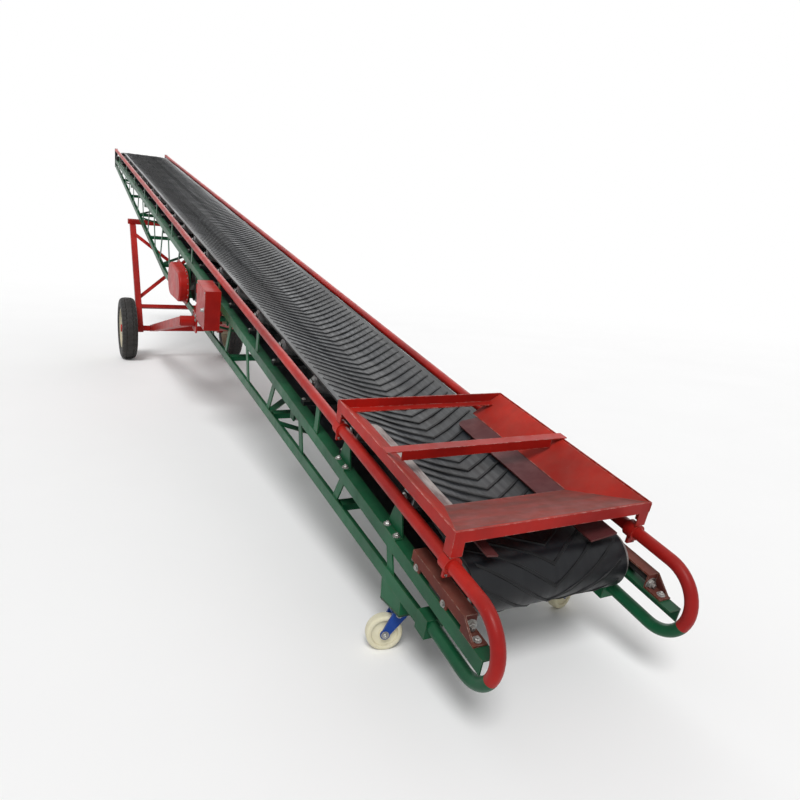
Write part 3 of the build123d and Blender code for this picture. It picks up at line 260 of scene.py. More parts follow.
# bare and zinc-plated steel: turned or brushed lines, dull patches and a little rust
metalLooks = {
    "zinc": {"base": (0.46, 0.46, 0.45), "dull": (0.24, 0.235, 0.22), "rust": (0.20, 0.085, 0.035), "rustShare": 0.22,
             "rough": 0.34, "lines": (40.0, 40.0, 40.0)},
    "pulley_steel": {"base": (0.30, 0.30, 0.30), "dull": (0.16, 0.155, 0.15), "rust": (0.15, 0.07, 0.035),
                     "rustShare": 0.35, "rough": 0.40, "lines": (260.0, 6.0, 6.0)},
    "roller_steel": {"base": (0.34, 0.34, 0.35), "dull": (0.17, 0.165, 0.16), "rust": (0.16, 0.08, 0.04),
                     "rustShare": 0.35, "rough": 0.42, "lines": (260.0, 6.0, 6.0)},
}


def metalSkin(name, look):  # base to dull by patches, then rust spots, dust and bright edges over it
    skin, tree, shader = newSkin(name)
    place = placeOf(tree)
    lines = cloud(tree, stretch(tree, place, look["lines"]), 1.0, 3.0)
    dull = spread(tree, cloud(tree, place, 14.0, 5.0), 0.36, 0.64)
    colour = tint(tree, dull, look["base"], look["dull"])
    spots = spread(tree, cloud(tree, place, 46.0, 5.0, 0.68), 0.50, 0.66, 0.0, look["rustShare"])
    colour = tint(tree, spots, colour, look["rust"])
    dust = sums(tree, "MULTIPLY", topSide(tree), spread(tree, cloud(tree, place, 9.0, 5.0), 0.4, 0.7, 0.05, 0.40))
    colour = tint(tree, dust, colour, (0.26, 0.245, 0.21))
    colour = tint(tree, sums(tree, "MULTIPLY", edgeWear(tree, 0.002), 0.5), colour, (0.70, 0.70, 0.68))
    feed(tree, colour, shader.inputs["Base Color"])
    feed(tree, spread(tree, sums(tree, "ADD", spots, dust), 0.0, 0.7, 0.92, 0.15), shader.inputs["Metallic"])
    feed(tree, sums(tree, "ADD", spread(tree, lines, 0.3, 0.7, look["rough"] - 0.08, look["rough"] + 0.12),
                    sums(tree, "MULTIPLY", sums(tree, "ADD", spots, dust), 0.4)), shader.inputs["Roughness"])
    feed(tree, relief(tree, lines, 0.12, 0.0006), shader.inputs["Normal"])
    return skin


# rubber: a dark body, long scuffs and ground-in dust; on the belt, painted shade darkens the rubber round the pulleys
# and along the return run
rubberLooks = {
    "belt": {"base": (0.0070, 0.0090, 0.0125), "pale": (0.026, 0.030, 0.035), "dust": (0.078, 0.072, 0.064),
             "wrapShade": (0.0030, 0.0034, 0.0046), "dustShare": 0.42, "rough": 0.38, "shine": 0.26},
    "ribs": {"base": (0.0050, 0.0058, 0.0070), "pale": (0.013, 0.014, 0.016), "dust": (0.050, 0.047, 0.042),
             "dustShare": 0.16, "rough": 0.50, "shine": 0.18},
    "skirt": {"base": (0.060, 0.007, 0.009), "pale": (0.095, 0.018, 0.018), "dust": (0.110, 0.050, 0.044),
              "spill": (0.40, 0.37, 0.35), "spillFrom": rowShift + 0.08,
              "dustShare": 0.36, "rough": 0.56, "shine": 0.35},
    "tyre": {"base": (0.0095, 0.0095, 0.0105), "pale": (0.022, 0.0215, 0.021), "dust": (0.085, 0.075, 0.060),
             "dustShare": 0.30, "rough": 0.60, "shine": 0.35},
}


def rubberSkin(name, look, uvMap=None):  # base to pale by scuffs along the run, then spilt and ground-in dust
    skin, tree, shader = newSkin(name)
    place = placeOf(tree)
    if uvMap:
        node = tree.nodes.new("ShaderNodeUVMap")
        node.uv_map = uvMap
        run = node.outputs[0]
        scuffPlace = stretch(tree, run, (1.4, 46.0, 1.0))
        bandPlace = stretch(tree, run, (0.9, 3.2, 1.0))
    else:
        scuffPlace = stretch(tree, place, (12.0, 12.0, 30.0))
        bandPlace = place
    scuffs = spread(tree, cloud(tree, scuffPlace, 1.0, 5.0, 0.6), 0.40, 0.66)
    colour = tint(tree, sums(tree, "MULTIPLY", scuffs, 0.65), look["base"], look["pale"])
    bands = spread(tree, cloud(tree, bandPlace, 1.6, 5.0, 0.6), 0.40, 0.62)
    specks = spread(tree, cloud(tree, place, 190.0, 3.0, 0.7), 0.40, 0.68, 0.35, 1.0)
    dust = sums(tree, "MULTIPLY", sums(tree, "MULTIPLY", bands, specks), look["dustShare"])
    if uvMap:  # dust stays on the carrying run; round the pulleys and along the return run below, the colour, scuffs and all, is drawn most of the way to near black as painted shade
        node = tree.nodes.new("ShaderNodeAttribute")
        node.attribute_name = "carrying"
        dust = sums(tree, "MULTIPLY", dust, spread(tree, node.outputs["Fac"], 0.0, 1.0, 0.08, 1.0))
        # painted shade: off the carrying run the colour goes most of the way to a near-black colour
        colour = tint(tree, spread(tree, node.outputs["Fac"], 0.0, 1.0, 0.80, 0.0), colour, look["wrapShade"])
    if "spill" in look:  # pale spilt dust on the near flap, inside the hopper
        split = tree.nodes.new("ShaderNodeSeparateXYZ")
        tree.links.new(place, split.inputs[0])
        near = spread(tree, split.outputs["X"], -0.18, -0.205)
        patchy = cloud(tree, stretch(tree, place, (30.0, 7.0, 7.0)), 1.0, 5.0, 0.65)
        patchy = spread(tree, patchy, 0.36, 0.56, 0.25, 0.9)
        inside = spread(tree, split.outputs["Y"], look["spillFrom"], look["spillFrom"] + 0.10)
        landed = sums(tree, "MULTIPLY", inside, topSide(tree))
        spill = sums(tree, "MULTIPLY", sums(tree, "MULTIPLY", near, patchy), landed)
        colour = tint(tree, spill, colour, look["spill"])
    colour = tint(tree, dust, colour, look["dust"])
    colour = tint(tree, sums(tree, "MULTIPLY", edgeWear(tree, 0.003), 0.35), colour, look["dust"])
    feed(tree, colour, shader.inputs["Base Color"])
    feed(tree, sums(tree, "ADD", spread(tree, scuffs, 0.0, 1.0, look["rough"] + 0.05, look["rough"] - 0.08),
                    sums(tree, "MULTIPLY", dust, 0.35)), shader.inputs["Roughness"])
    shader.inputs["Specular IOR Level"].default_value = look["shine"]
    bump = relief(tree, cloud(tree, place, 420.0, 2.0), 0.10, 0.0008)
    feed(tree, relief(tree, scuffs, 0.08, 0.001, bump), shader.inputs["Normal"])
    return skin


skins = {key: paintSkin(key + "Skin", look) for key, look in paintLooks.items()}
skins.update({key: metalSkin(key + "Skin", look) for key, look in metalLooks.items()})
skins["belt_rubber"] = rubberSkin("beltSkin", rubberLooks["belt"], "beltRun")
skins["ribs"] = rubberSkin("ribSkin", rubberLooks["ribs"])
skins["skirt_rubber"] = rubberSkin("skirtSkin", rubberLooks["skirt"])
skins["tyre"] = rubberSkin("tyreSkin", rubberLooks["tyre"])
for sub in frame["record"]["subparts"]:
    key = sub["node"] if sub["node"] in skins else sub["material_slot"]
    mesh = nodes[sub["node"]].data
    if len(mesh.materials):
        for slotNumber in range(len(mesh.materials)):
            mesh.materials[slotNumber] = skins[key]
    else:
        mesh.materials.append(skins[key])
print("finishes made", len(skins))


# mesh helpers: a shape is (points, [face arrays]), each face array with one row of point numbers a face
def gridFaces(rows, cols, wrapRows, wrapCols):  # face (i, j) joins rows i, i+1 and columns j, j+1
    i = np.arange(rows if wrapRows else rows - 1)[:, None]
    j = np.arange(cols if wrapCols else cols - 1)[None, :]
    a, b = (i + 1) % rows, (j + 1) % cols
    corners = np.broadcast_arrays(i * cols + j, a * cols + j, a * cols + b, i * cols + b)
    return np.stack(corners, axis=-1).reshape(-1, 4)


def outward(shape):  # the triple products over each face's fan add up to six volumes; a negative sum is turned round
    points, faceSets = shape
    total = 0.0
    for f in faceSets:
        for k in range(1, f.shape[1] - 1):
            total += np.sum(points[f[:, 0]] * np.cross(points[f[:, k]], points[f[:, k + 1]]))
    return (points, [f[:, ::-1] for f in faceSets]) if total < 0 else shape


def stackRings(rings):  # rings of equal count joined in order, with a flat face closing each end
    rings = np.asarray(rings, float)
    r, k = rings.shape[:2]
    ends = np.stack([np.arange(k), (r - 1) * k + np.arange(k)[::-1]])
    return outward((rings.reshape(-1, 3), [gridFaces(r, k, False, True), ends]))


def latheShape(profile, around, closed=False):  # each profile point (radius, height) becomes a ring round the z axis
    profile = np.asarray(profile, float)
    t = np.arange(around) * 2 * pi / around
    rings = np.stack([profile[:, :1] * np.cos(t), profile[:, :1] * np.sin(t), profile[:, 1:] + 0 * t], axis=-1)
    if closed:
        return outward((rings.reshape(-1, 3), [gridFaces(len(profile), around, True, True)]))
    return stackRings(rings)


def blockShape(halfX, halfY, height, cut):  # an outline with cut corners, carried up and drawn in at the top
    x = np.array([1, 1, -1, -1, -1, -1, 1, 1]) * (halfX - cut * np.array([0, 1, 1, 0, 0, 1, 1, 0]))
    y = np.array([1, 1, 1, 1, -1, -1, -1, -1]) * (halfY - cut * np.array([1, 0, 0, 1, 1, 0, 0, 1]))
    foot = np.stack([x, y, 0 * x], axis=-1)
    draw = np.array([(halfX - cut) / halfX, (halfY - cut) / halfY, 1.0])
    return stackRings([foot, foot + [0, 0, height - cut], foot * draw + [0, 0, height]])


def joinShapes(shapes):  # points are stacked, and each shape's face numbers move up by the points before it
    points, faces, base = [], {}, 0
    for p, faceSets in shapes:
        for f in faceSets:
            faces.setdefault(f.shape[1], []).append(f + base)
        points.append(p)
        base += len(p)
    return np.concatenate(points), [np.concatenate(f) for f in faces.values()]


def sideDirs(z):  # two directions square to each axis: x from a helper that isn't along it, y from both
    helper = np.where(np.abs(z[:, :1]) > 0.9, [[0.0, 1.0, 0.0]], [[1.0, 0.0, 0.0]])
    x = np.cross(helper, z)
    x /= np.linalg.norm(x, axis=1, keepdims=True)
    return x, np.cross(z, x)


def placeCopies(shape, centres, axes, size=1.0, spin=0.0):  # each copy has its z on the axis, turned, sized and moved
    p, faceSets = shape
    centres = np.asarray(centres, float).reshape(-1, 3)
    z = np.broadcast_to(np.asarray(axes, float), centres.shape)
    z = z / np.linalg.norm(z, axis=1, keepdims=True)
    x, y = sideDirs(z)
    turn = np.broadcast_to(np.asarray(spin, float), len(centres))[:, None]
    axesNow = np.stack([x * np.cos(turn) + y * np.sin(turn), y * np.cos(turn) - x * np.sin(turn), z], axis=2)
    points = centres[:, None, :] + size * np.einsum("nij,pj->npi", axesNow, p)
    base = np.arange(len(centres))[:, None, None] * len(p)
    return points.reshape(-1, 3), [(f[None] + base).reshape(-1, f.shape[1]) for f in faceSets]


def weldBeads(starts, ends, radius):  # a tube of seven rings, its radius rippled and small at both tips
    starts, ends = np.asarray(starts, float).reshape(-1, 3), np.asarray(ends, float).reshape(-1, 3)
    run = ends - starts
    z = run / np.linalg.norm(run, axis=1, keepdims=True)
    x, y = sideDirs(z)
    s, t = np.linspace(0, 1, 7), np.arange(6) * pi / 3
    swell = radius * np.array([0.35, 1.0, 0.78, 1.0, 0.78, 1.0, 0.35])
    ring = x[:, None, None] * np.cos(t)[:, None] + y[:, None, None] * np.sin(t)[:, None]
    points = starts[:, None, None] + run[:, None, None] * s[:, None, None] + swell[:, None, None] * ring
    base = np.arange(len(starts))[:, None, None] * 42
    caps = np.stack([np.arange(6), 36 + np.arange(6)[::-1]])
    sets = [(f[None] + base).reshape(-1, f.shape[1]) for f in (gridFaces(7, 6, False, True), caps)]
    return outward((points.reshape(-1, 3), sets))


def putPiece(name, shape, body, skin, sharp=35.0, stands=(), marks=None, uv=None):  # whole arrays into one mesh
    points, faceSets = shape
    corners = np.concatenate([f.ravel() for f in faceSets]).astype(np.int32)
    counts = np.concatenate([np.full(len(f), f.shape[1]) for f in faceSets])
    starts = np.concatenate([[0], np.cumsum(counts)[:-1]]).astype(np.int32)
    mesh = bpy.data.meshes.new(name)
    mesh.vertices.add(len(points))
    mesh.vertices.foreach_set("co", points.astype(np.float32).ravel())
    mesh.loops.add(len(corners))
    mesh.loops.foreach_set("vertex_index", corners)
    mesh.polygons.add(len(counts))
    mesh.polygons.foreach_set("loop_start", starts)
    mesh.polygons.foreach_set("use_smooth", np.ones(len(counts), bool))
    mesh.update(calc_edges=True)
    mesh.set_sharp_from_angle(angle=radians(sharp))
    if uv is not None:
        mesh.uv_layers.new(name="beltRun").data.foreach_set("uv", uv[corners].astype(np.float32).ravel())
    if marks is not None:
        mesh.attributes.new("carrying", "FLOAT", "POINT").data.foreach_set("value", marks.astype(np.float32))
    mesh.materials.append(skin)
    ob = bpy.data.objects.new(name, mesh)
    bpy.context.scene.collection.objects.link(ob)
    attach(ob, body)
    if stands:
        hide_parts(*stands)
    return ob


# the belt: a trough-shaped section carried round the pulleys, the drum and its two snub rollers
beltLoop = {"width": 0.600, "flatHalf": 0.100, "wall": 0.010, "trough": radians(10.0), "gap": 0.0003,
            "flats": (0.146, 0.376, 9.830, 10.060), "sag": 0.002, "idlerFirst": 0.395, "idlerPitch": 0.486,
            "tail": (0.036, -0.113, 0.088), "head": (10.170, -0.113, 0.088), "drum": (4.125, -0.368, 0.110),
            "snubSet": 0.215, "snubRadius": 0.038, "edgeRound": 0.002, "foldSoft": 0.0004,
            "acrossSamples": 33, "topSamples": 230, "lineSamples": 30, "arcSamples": 24}
beltRibs = {"pitch": 0.066, "height": 0.005, "foot": 0.0075, "crown": 0.0048, "lean": radians(32.0), "reach": 0.272,
            "sunk": 0.0006, "tip": 0.45}


def beltPath(b):  # straight lines touch each pair of circles, and each circle gives the arc between its lines
    mid = b["gap"] + b["wall"] / 2
    snubW = b["tail"][1] - b["tail"][2] - b["wall"] - beltRibs["height"] - b["gap"] - b["snubRadius"]
    snubReach = b["snubRadius"] + b["wall"] + beltRibs["height"] + 2 * b["gap"] - mid
    circles = [(*b["drum"][:2], b["drum"][2] + mid, 1), (b["drum"][0] - b["snubSet"], snubW, snubReach, -1),
               (*b["tail"][:2], b["tail"][2] + mid, 1), (*b["head"][:2], b["head"][2] + mid, 1),
               (b["drum"][0] + b["snubSet"], snubW, snubReach, -1)]
    headings = []
    for k, (u, w, r, turn) in enumerate(circles):  # the line's heading leans by the difference of the two reaches
        un, wn, rn, turnNext = circles[(k + 1) % len(circles)]
        lean = np.arcsin((turn * r - turnNext * rn) / np.hypot(un - u, wn - w))
        headings.append(np.arctan2(wn - w, un - u) - lean)
    rows, now = [], headings[-1]
    for k, (u, w, r, turn) in enumerate(circles):
        change = (headings[k] - now) % (2 * pi)
        change = change if turn < 0 else change - 2 * pi
        h = now + change * np.linspace(0, 1, b["arcSamples"])
        rows.append(np.stack([u - turn * r * np.sin(h), w + turn * r * np.cos(h), h], axis=1))
        now = now + change
        un, wn, rn, turnNext = circles[(k + 1) % len(circles)]
        end = np.array([un - turnNext * rn * np.sin(now), wn + turnNext * rn * np.cos(now), now])
        count = b["topSamples"] if k == 2 else b["lineSamples"]
        share = np.linspace(0, 1, count)[1:-1, None]
        rows.append(rows[-1][-1] * (1 - share) + end * share)
    path = np.concatenate(rows)
    path = np.concatenate([path, path[:1] + [0, 0, now - path[0, 2]]])
    length = np.concatenate([[0], np.cumsum(np.hypot(*np.diff(path[:, :2], axis=0).T))])
    return length, path


beltLength, beltLine = beltPath(beltLoop)


def beltPoint(s, t, lift):  # s round the loop, t across, lift off the middle of the wall; the wings rise past the folds
    b = beltLoop
    s = np.mod(s, beltLength[-1])
    u, w, h = (np.interp(s, beltLength, beltLine[:, k]) for k in range(3))
    share = np.interp(u, b["flats"], (0, 1, 1, 0)) * (np.cos(h) > 0.99)
    past = np.abs(t) - b["flatHalf"]
    middle = np.sqrt(b["flatHalf"] ** 2 + b["foldSoft"]) - b["flatHalf"]
    soft = 0.5 * (past + np.sqrt(past ** 2 + b["foldSoft"])) - 0.5 * middle
    rise = soft * np.sin(b["trough"] * share)
    v = np.sign(t) * (np.abs(t) - soft * (1 - np.cos(b["trough"] * share)))
    sag = b["sag"] * share * (0.5 - 0.5 * np.cos(2 * pi * (u - b["idlerFirst"]) / b["idlerPitch"]))
    height = lift + rise - sag
    return toRow(v, u - np.sin(h) * height, w + np.cos(h) * height), (np.cos(h) > 0.99)


def makeBelt(b):  # a closed section, upper face then lower, carried along the loop
    half, skinHalf = b["width"] / 2, b["wall"] / 2
    count = b["acrossSamples"]
    across = np.linspace(-1, 1, count) * (half - b["edgeRound"])
    t = np.concatenate([across, [half], across[::-1], [-half]])
    lift = np.concatenate([np.full(count, skinHalf), [0], np.full(count, -skinHalf), [0]])
    s = beltLength[:-1, None]
    points, carrying = beltPoint(s, t[None], lift[None])
    shape = outward((points.reshape(-1, 3), [gridFaces(len(s), len(t), True, True)]))
    uv = np.stack(np.broadcast_arrays(s, t[None]), axis=-1).reshape(-1, 2)
    marks = np.broadcast_to(carrying, (len(s), len(t))).ravel().astype(float)
    putPiece("beltBand", shape, "boom", skins["belt_rubber"], 40.0, ("belt",), marks, uv)


def makeRibs(r):  # V ribs: a low ridge section at nine places across, set back by the lean on both sides of the middle
    count = int(round(beltLength[-1] / r["pitch"]))
    start = np.arange(count)[:, None, None] * beltLength[-1] / count
    t = np.linspace(-1, 1, 9)[None, :, None] * r["reach"]
    offset = np.array([-r["foot"], -r["crown"], r["crown"], r["foot"]])
    full = np.where(np.abs(t) > 0.99 * r["reach"], r["tip"], 1.0)
    lift = beltLoop["wall"] / 2 + np.array([-r["sunk"], r["height"], r["height"], -r["sunk"]]) * full
    points, _ = beltPoint(start + np.abs(t) * tan(r["lean"]) + offset, t, lift)
    base = np.arange(count)[:, None, None] * 36
    ends = np.stack([np.arange(4), 32 + np.arange(4)[::-1]])
    sets = [(f[None] + base).reshape(-1, f.shape[1]) for f in (gridFaces(9, 4, False, True), ends)]
    ribs = outward((points.reshape(-1, 3), sets))
    putPiece("beltRibRow", ribs, "boom", skins["ribs"], 30.0, ("belt_ribs",))


makeBelt(beltLoop)
makeRibs(beltRibs)
print("belt laid", round(float(beltLength[-1]), 2), "m round the loop")

# hopper skirts: a rubber flap on each side, its free edge lifting in low waves over the belt's wings
skirtFlaps = {"span": (-0.015, 0.840), "edges": {-1: 0.215, 1: 0.150}, "foot": 0.255, "reach": 0.1564, "wall": 0.006,
              "foldV": 0.1, "baseW": -0.0087, "lean": radians(10.0), "corner": 0.040, "wave": 0.0045}


def makeSkirts(k):  # a thin closed section from the plate's foot to the free edge, carried along the hopper
    u = np.concatenate([np.linspace(k["span"][0], k["span"][1] - k["corner"], 70),
                        k["span"][1] - k["corner"] * (1 - np.sin(np.linspace(0, pi / 2, 12)[1:]))])[:, None]
    shapes = []
    for side, free in k["edges"].items():
        full = (k["foot"] - free) / cos(k["lean"])
        cornerRound = k["corner"] * 0.9 if full > 2 * k["corner"] else full / 2
        past = np.clip((u - k["span"][1] + k["corner"]) / k["corner"], 0, 1)
        width = full - cornerRound * (1 - np.sqrt(np.clip(1 - past ** 2, 0, 1)))
        share = np.linspace(0, 1, 12)
        a = np.concatenate([share, [1.0], share[::-1]])[None]
        thick = np.concatenate([np.ones(12), [0.5], np.zeros(12)])[None] * k["wall"]
        a = k["reach"] - width * a
        freeShare = (k["reach"] - a) / full
        wave = k["wave"] * freeShare ** 2 * (0.55 + 0.45 * np.sin(u * 11.0 + side) * np.cos(u * 4.3))
        up = thick + wave
        v = side * (k["foldV"] + a * cos(k["lean"]) - up * sin(k["lean"]))
        w = k["baseW"] + a * sin(k["lean"]) + up * cos(k["lean"])
        shapes.append(stackRings(toRow(v, u, w)))
    putPiece("skirtFlaps", joinShapes(shapes), "boom", skins["skirt_rubber"], 50.0, ("hopper_skirts",))


makeSkirts(skirtFlaps)
print("skirts hung")

# hopper frame: upright bars round the top with their ledge below, four corner legs and a bar across the middle
hopperFrame = {"start": -0.008, "length": 0.893, "half": 0.378, "riseTail": 0.118, "riseHead": 0.114,
               "bar": 0.040, "wall": 0.004, "drops": (0.0875, 0.0835), "bite": 0.0005,
               "midBar": 0.455, "midOverhang": 0.012, "midHalf": 0.318, "midDrop": 0.032, "weld": 0.0020}


def hopperPoint(k, v, y, z):  # y along the hopper and z off its top, both leaning by its small fall towards the head
    lean = np.arctan2(k["riseTail"] - k["riseHead"], k["length"])
    u = k["start"] + y * np.cos(lean) + z * np.sin(lean)
    return toRow(v, u, k["riseTail"] - y * np.sin(lean) + z * np.cos(lean))


def makeHopperFrame(k):  # an angle section carried round the four corners, then straight sections for legs and bar
    half, length, bar, wall = k["half"], k["length"], k["bar"], k["wall"]
    inward = np.array([[0, wall, wall, bar, bar, 0]])
    down = -np.array([[0, 0, bar - wall, bar - wall, bar, bar]])
    sideWay, farEnd = np.array([[-1], [1], [1], [-1]]), np.array([[0], [0], [1], [1]])
    corners = hopperPoint(k, sideWay * (half - inward), farEnd * length + (1 - 2 * farEnd) * inward, down)
    shapes = [outward((corners.reshape(-1, 3), [gridFaces(4, 6, True, True)]))]
    legV, legY = np.array([[0, bar, bar, wall, wall, 0]]), np.array([[0, 0, wall, wall, bar, bar]])
    for side in (-1, 1):
        for end, way, drop in ((0.0, 1, k["drops"][0]), (length, -1, k["drops"][1])):
            heights = np.array([[-drop], [k["bite"] - bar]])
            shapes.append(stackRings(hopperPoint(k, side * (half - legV), end + way * legY, heights)))
    flange = ((-half, half + k["midOverhang"]), bar, 0.0, wall)
    web = ((-k["midHalf"], k["midHalf"]), wall, -k["midDrop"], 0.0)
    for ends, depth, low, high in (flange, web):
        y = k["midBar"] + np.array([[0, depth, depth, 0]])
        shapes.append(stackRings(hopperPoint(k, np.array(ends)[:, None], y, np.array([[low, low, high, high]]))))
    putPiece("hopperBars", joinShapes(shapes), "boom", skins["hopper_frame"], 20.0, ("hopper_frame",))
    v, y = half * np.array([-1, 1, -1, 1]), length * np.array([0, 0, 1, 1])
    beads = weldBeads(hopperPoint(k, v, y, -k["weld"]), hopperPoint(k, v, y, k["weld"] - bar), k["weld"])
    putPiece("hopperWelds", beads, "boom", skins["hopper_frame"], 60.0)


makeHopperFrame(hopperFrame)
print("hopper framed")

# road tyres: a rounded section with three zigzag grooves, shoulder notches and ribs on the walls
roadTyre = {"middle": 0.2785, "halfWidth": 0.080, "rise": 0.064, "turn": radians(132.0), "square": 2 / 3, "around": 320,
            "grooves": (-0.034, 0.0, 0.034), "grooveDepth": 0.007, "grooveWidth": 0.0042, "zigzag": 0.0045,
            "blocks": 40, "crownFrom": 0.315, "notchFrom": 0.046, "wallRibs": (0.262, 0.298), "wallRib": 0.0012}


def tyreShape(k):  # a superellipse section turned round the axle, its crown cut by grooves that swing with the angle
    a = np.linspace(-k["turn"], k["turn"], 72)
    x = k["halfWidth"] * np.sign(np.sin(a)) * np.abs(np.sin(a)) ** k["square"]
    r = k["middle"] + k["rise"] * np.sign(np.cos(a)) * np.abs(np.cos(a)) ** k["square"]
    t = (np.arange(k["around"]) * 2 * pi / k["around"])[:, None]
    swing = k["zigzag"] * (2 / pi) * np.arcsin(np.sin(k["blocks"] * t))
    crown = np.clip((r - k["crownFrom"]) / 0.012, 0, 1)
    cut = sum(np.exp(-((x - g - swing) / k["grooveWidth"]) ** 4) for g in k["grooves"])
    notch = np.clip((np.abs(x) - k["notchFrom"]) / 0.006, 0, 1) * np.clip(np.sin(k["blocks"] * t) * 4 - 2.2, 0, 1)
    walls = sum(k["wallRib"] * np.exp(-((r - at) / 0.003) ** 2) for at in k["wallRibs"])
    radius = r - k["grooveDepth"] * crown * np.clip(cut + notch, 0, 1)
    x = np.broadcast_to(np.sign(x) * (np.abs(x) - walls), radius.shape)
    points = np.stack([radius * np.cos(t), radius * np.sin(t), x], axis=-1).reshape(-1, 3)
    return outward((points, [gridFaces(k["around"], len(a), True, True)]))


# wheel details: a rolled lip on each side of the rim, a stepped ring round the hub and lug nuts
wheelTrim = {"lip": (0.2225, 0.0605, 0.0045), "lugs": 6, "lugCircle": 0.085, "lugFace": 0.044, "lugSize": 0.0115,
             "lugTurn": 0.2,
             "hubRing": [(0.0560, 0.0), (0.0640, 0.0), (0.0640, 0.004), (0.0600, 0.008), (0.0560, 0.008)]}


def boltShape():  # a hexagon head with its top drawn in, on a ten-sided washer
    t6, t10 = np.arange(6) * pi / 3, np.arange(10) * pi / 5
    hexRing = np.stack([np.cos(t6), np.sin(t6), 0 * t6], axis=-1)
    washRing = np.stack([np.cos(t10), np.sin(t10), 0 * t10], axis=-1) * 1.45
    head = stackRings([hexRing + [0, 0, 0.15], hexRing + [0, 0, 0.72], hexRing * 0.8 + [0, 0, 0.86]])
    return joinShapes([head, stackRings([washRing, washRing + [0, 0, 0.2]])])


def nutShape():  # a hexagon nut on a washer, with the bolt's end standing out of it
    t8 = np.arange(8) * pi / 4
    stud = np.stack([np.cos(t8), np.sin(t8), 0 * t8], axis=-1) * 0.52
    return joinShapes([boltShape(), stackRings([stud + [0, 0, 0.5], stud + [0, 0, 1.25], stud * 0.8 + [0, 0, 1.35]])])


def middleOf(node):  # halfway between the box's two corners
    low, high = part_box(node)
    return np.array([(low[k] + high[k]) / 2 for k in range(3)])


bolt, nut = boltShape(), nutShape()
for name, side in (("left", -1), ("right", 1)):
    middle = middleOf("tyre_" + name)
    out = acrossDir * side
    tyre = placeCopies(tyreShape(roadTyre), middle, out)
    putPiece("roadTyre_" + name, tyre, "road_wheel_" + name, skins["tyre"], 28.0, ("tyre_" + name,))
    lipR, lipX, lipSize = wheelTrim["lip"]
    t = np.arange(10) * 2 * pi / 10
    ring = latheShape(np.stack([lipR + lipSize * np.cos(t), lipSize * np.sin(t)], axis=-1), 72, True)
    lips = [placeCopies(ring, middle + out * step * lipX, out) for step in (-1, 1)]
    lips.append(placeCopies(latheShape(wheelTrim["hubRing"], 40, True), middle + out * wheelTrim["lugFace"], out))
    putPiece("rimLips_" + name, joinShapes(lips), "road_wheel_" + name, skins["cream_rim"], 40.0)
    t = np.arange(wheelTrim["lugs"]) * 2 * pi / wheelTrim["lugs"] + wheelTrim["lugTurn"]
    circle = wheelTrim["lugCircle"] * np.stack([0 * t, np.cos(t), np.sin(t)], axis=-1)
    lugs = placeCopies(nut, middle + out * wheelTrim["lugFace"] + circle, out, wheelTrim["lugSize"])
    putPiece("lugNuts_" + name, lugs, "road_wheel_" + name, skins["zinc"], 30.0)
print("road wheels made")

# casters: a moulded wheel with a sunk ring on both faces, pin nuts on the fork and bolts through the plate
casterWheel = {"trailTurn": radians(165.0), "cheek": 0.0271, "pinSize": 0.0095, "plateX": 0.336, "plateUnder": 0.154,
               "seatX": 0.031, "seatY": 0.059, "boltSize": 0.0075}
casterProfile = np.array([(0.0066, -0.0213), (0.0165, -0.0213), (0.0172, -0.0200), (0.0178, -0.0125), (0.0215, -0.0105),
                          (0.0400, -0.0105), (0.0440, -0.0125), (0.0460, -0.0178), (0.0480, -0.0188), (0.0545, -0.0190),
                          (0.0585, -0.0178), (0.0612, -0.0150), (0.0624, -0.0110), (0.0625, -0.0060)])
casterProfile = np.concatenate([casterProfile, casterProfile[::-1] * [1, -1]])
for name, side in (("left", -1), ("right", 1)):
    hub = middleOf("caster_wheel_" + name)
    trail = np.array([-side * cos(casterWheel["trailTurn"]), sin(casterWheel["trailTurn"]), 0.0])
    axis = np.array([-trail[1], trail[0], 0.0])
    wheel = placeCopies(latheShape(casterProfile, 72, True), hub, axis)
    putPiece("casterWheel_" + name, wheel, "caster_wheel_" + name, skins["cream_nylon"], 32.0,
             ("caster_wheel_" + name,))
    cheek, pinSize = axis * casterWheel["cheek"], casterWheel["pinSize"]
    pins = [placeCopies(bolt, hub - cheek, -axis, pinSize), placeCopies(nut, hub + cheek, axis, pinSize)]
    putPiece("forkPin_" + name, joinShapes(pins), "caster_fork_" + name, skins["zinc"], 30.0)
    plate = np.array([casterWheel["plateX"] * side, middleOf("caster_plates")[1], casterWheel["plateUnder"]])
    seats = plate + [(a * casterWheel["seatX"], b * casterWheel["seatY"], 0.0) for a in (-1, 1) for b in (-1, 1)]
    bolts = placeCopies(bolt, seats, (0, 0, -1), casterWheel["boltSize"])
    putPiece("plateBolts_" + name, bolts, "boom", skins["zinc"], 30.0)
print("casters made")

# motor: end bells, cooling fins round the middle, a fan cowl and a terminal box on top
beltMotor = {"length": 0.300, "radius": 0.0748, "finFoot": 0.062, "fins": 30, "bell": 0.0715, "cowl": 0.0735,
             "boxAt": 0.125, "boxHalf": (0.045, 0.040), "boxHeight": 0.030,
             "lidHalf": (0.048, 0.043), "lidHeight": 0.006,
             "shaft": [(0.010, 0.0), (0.0155, 0.001), (0.0155, 0.049), (0.014, 0.050)]}


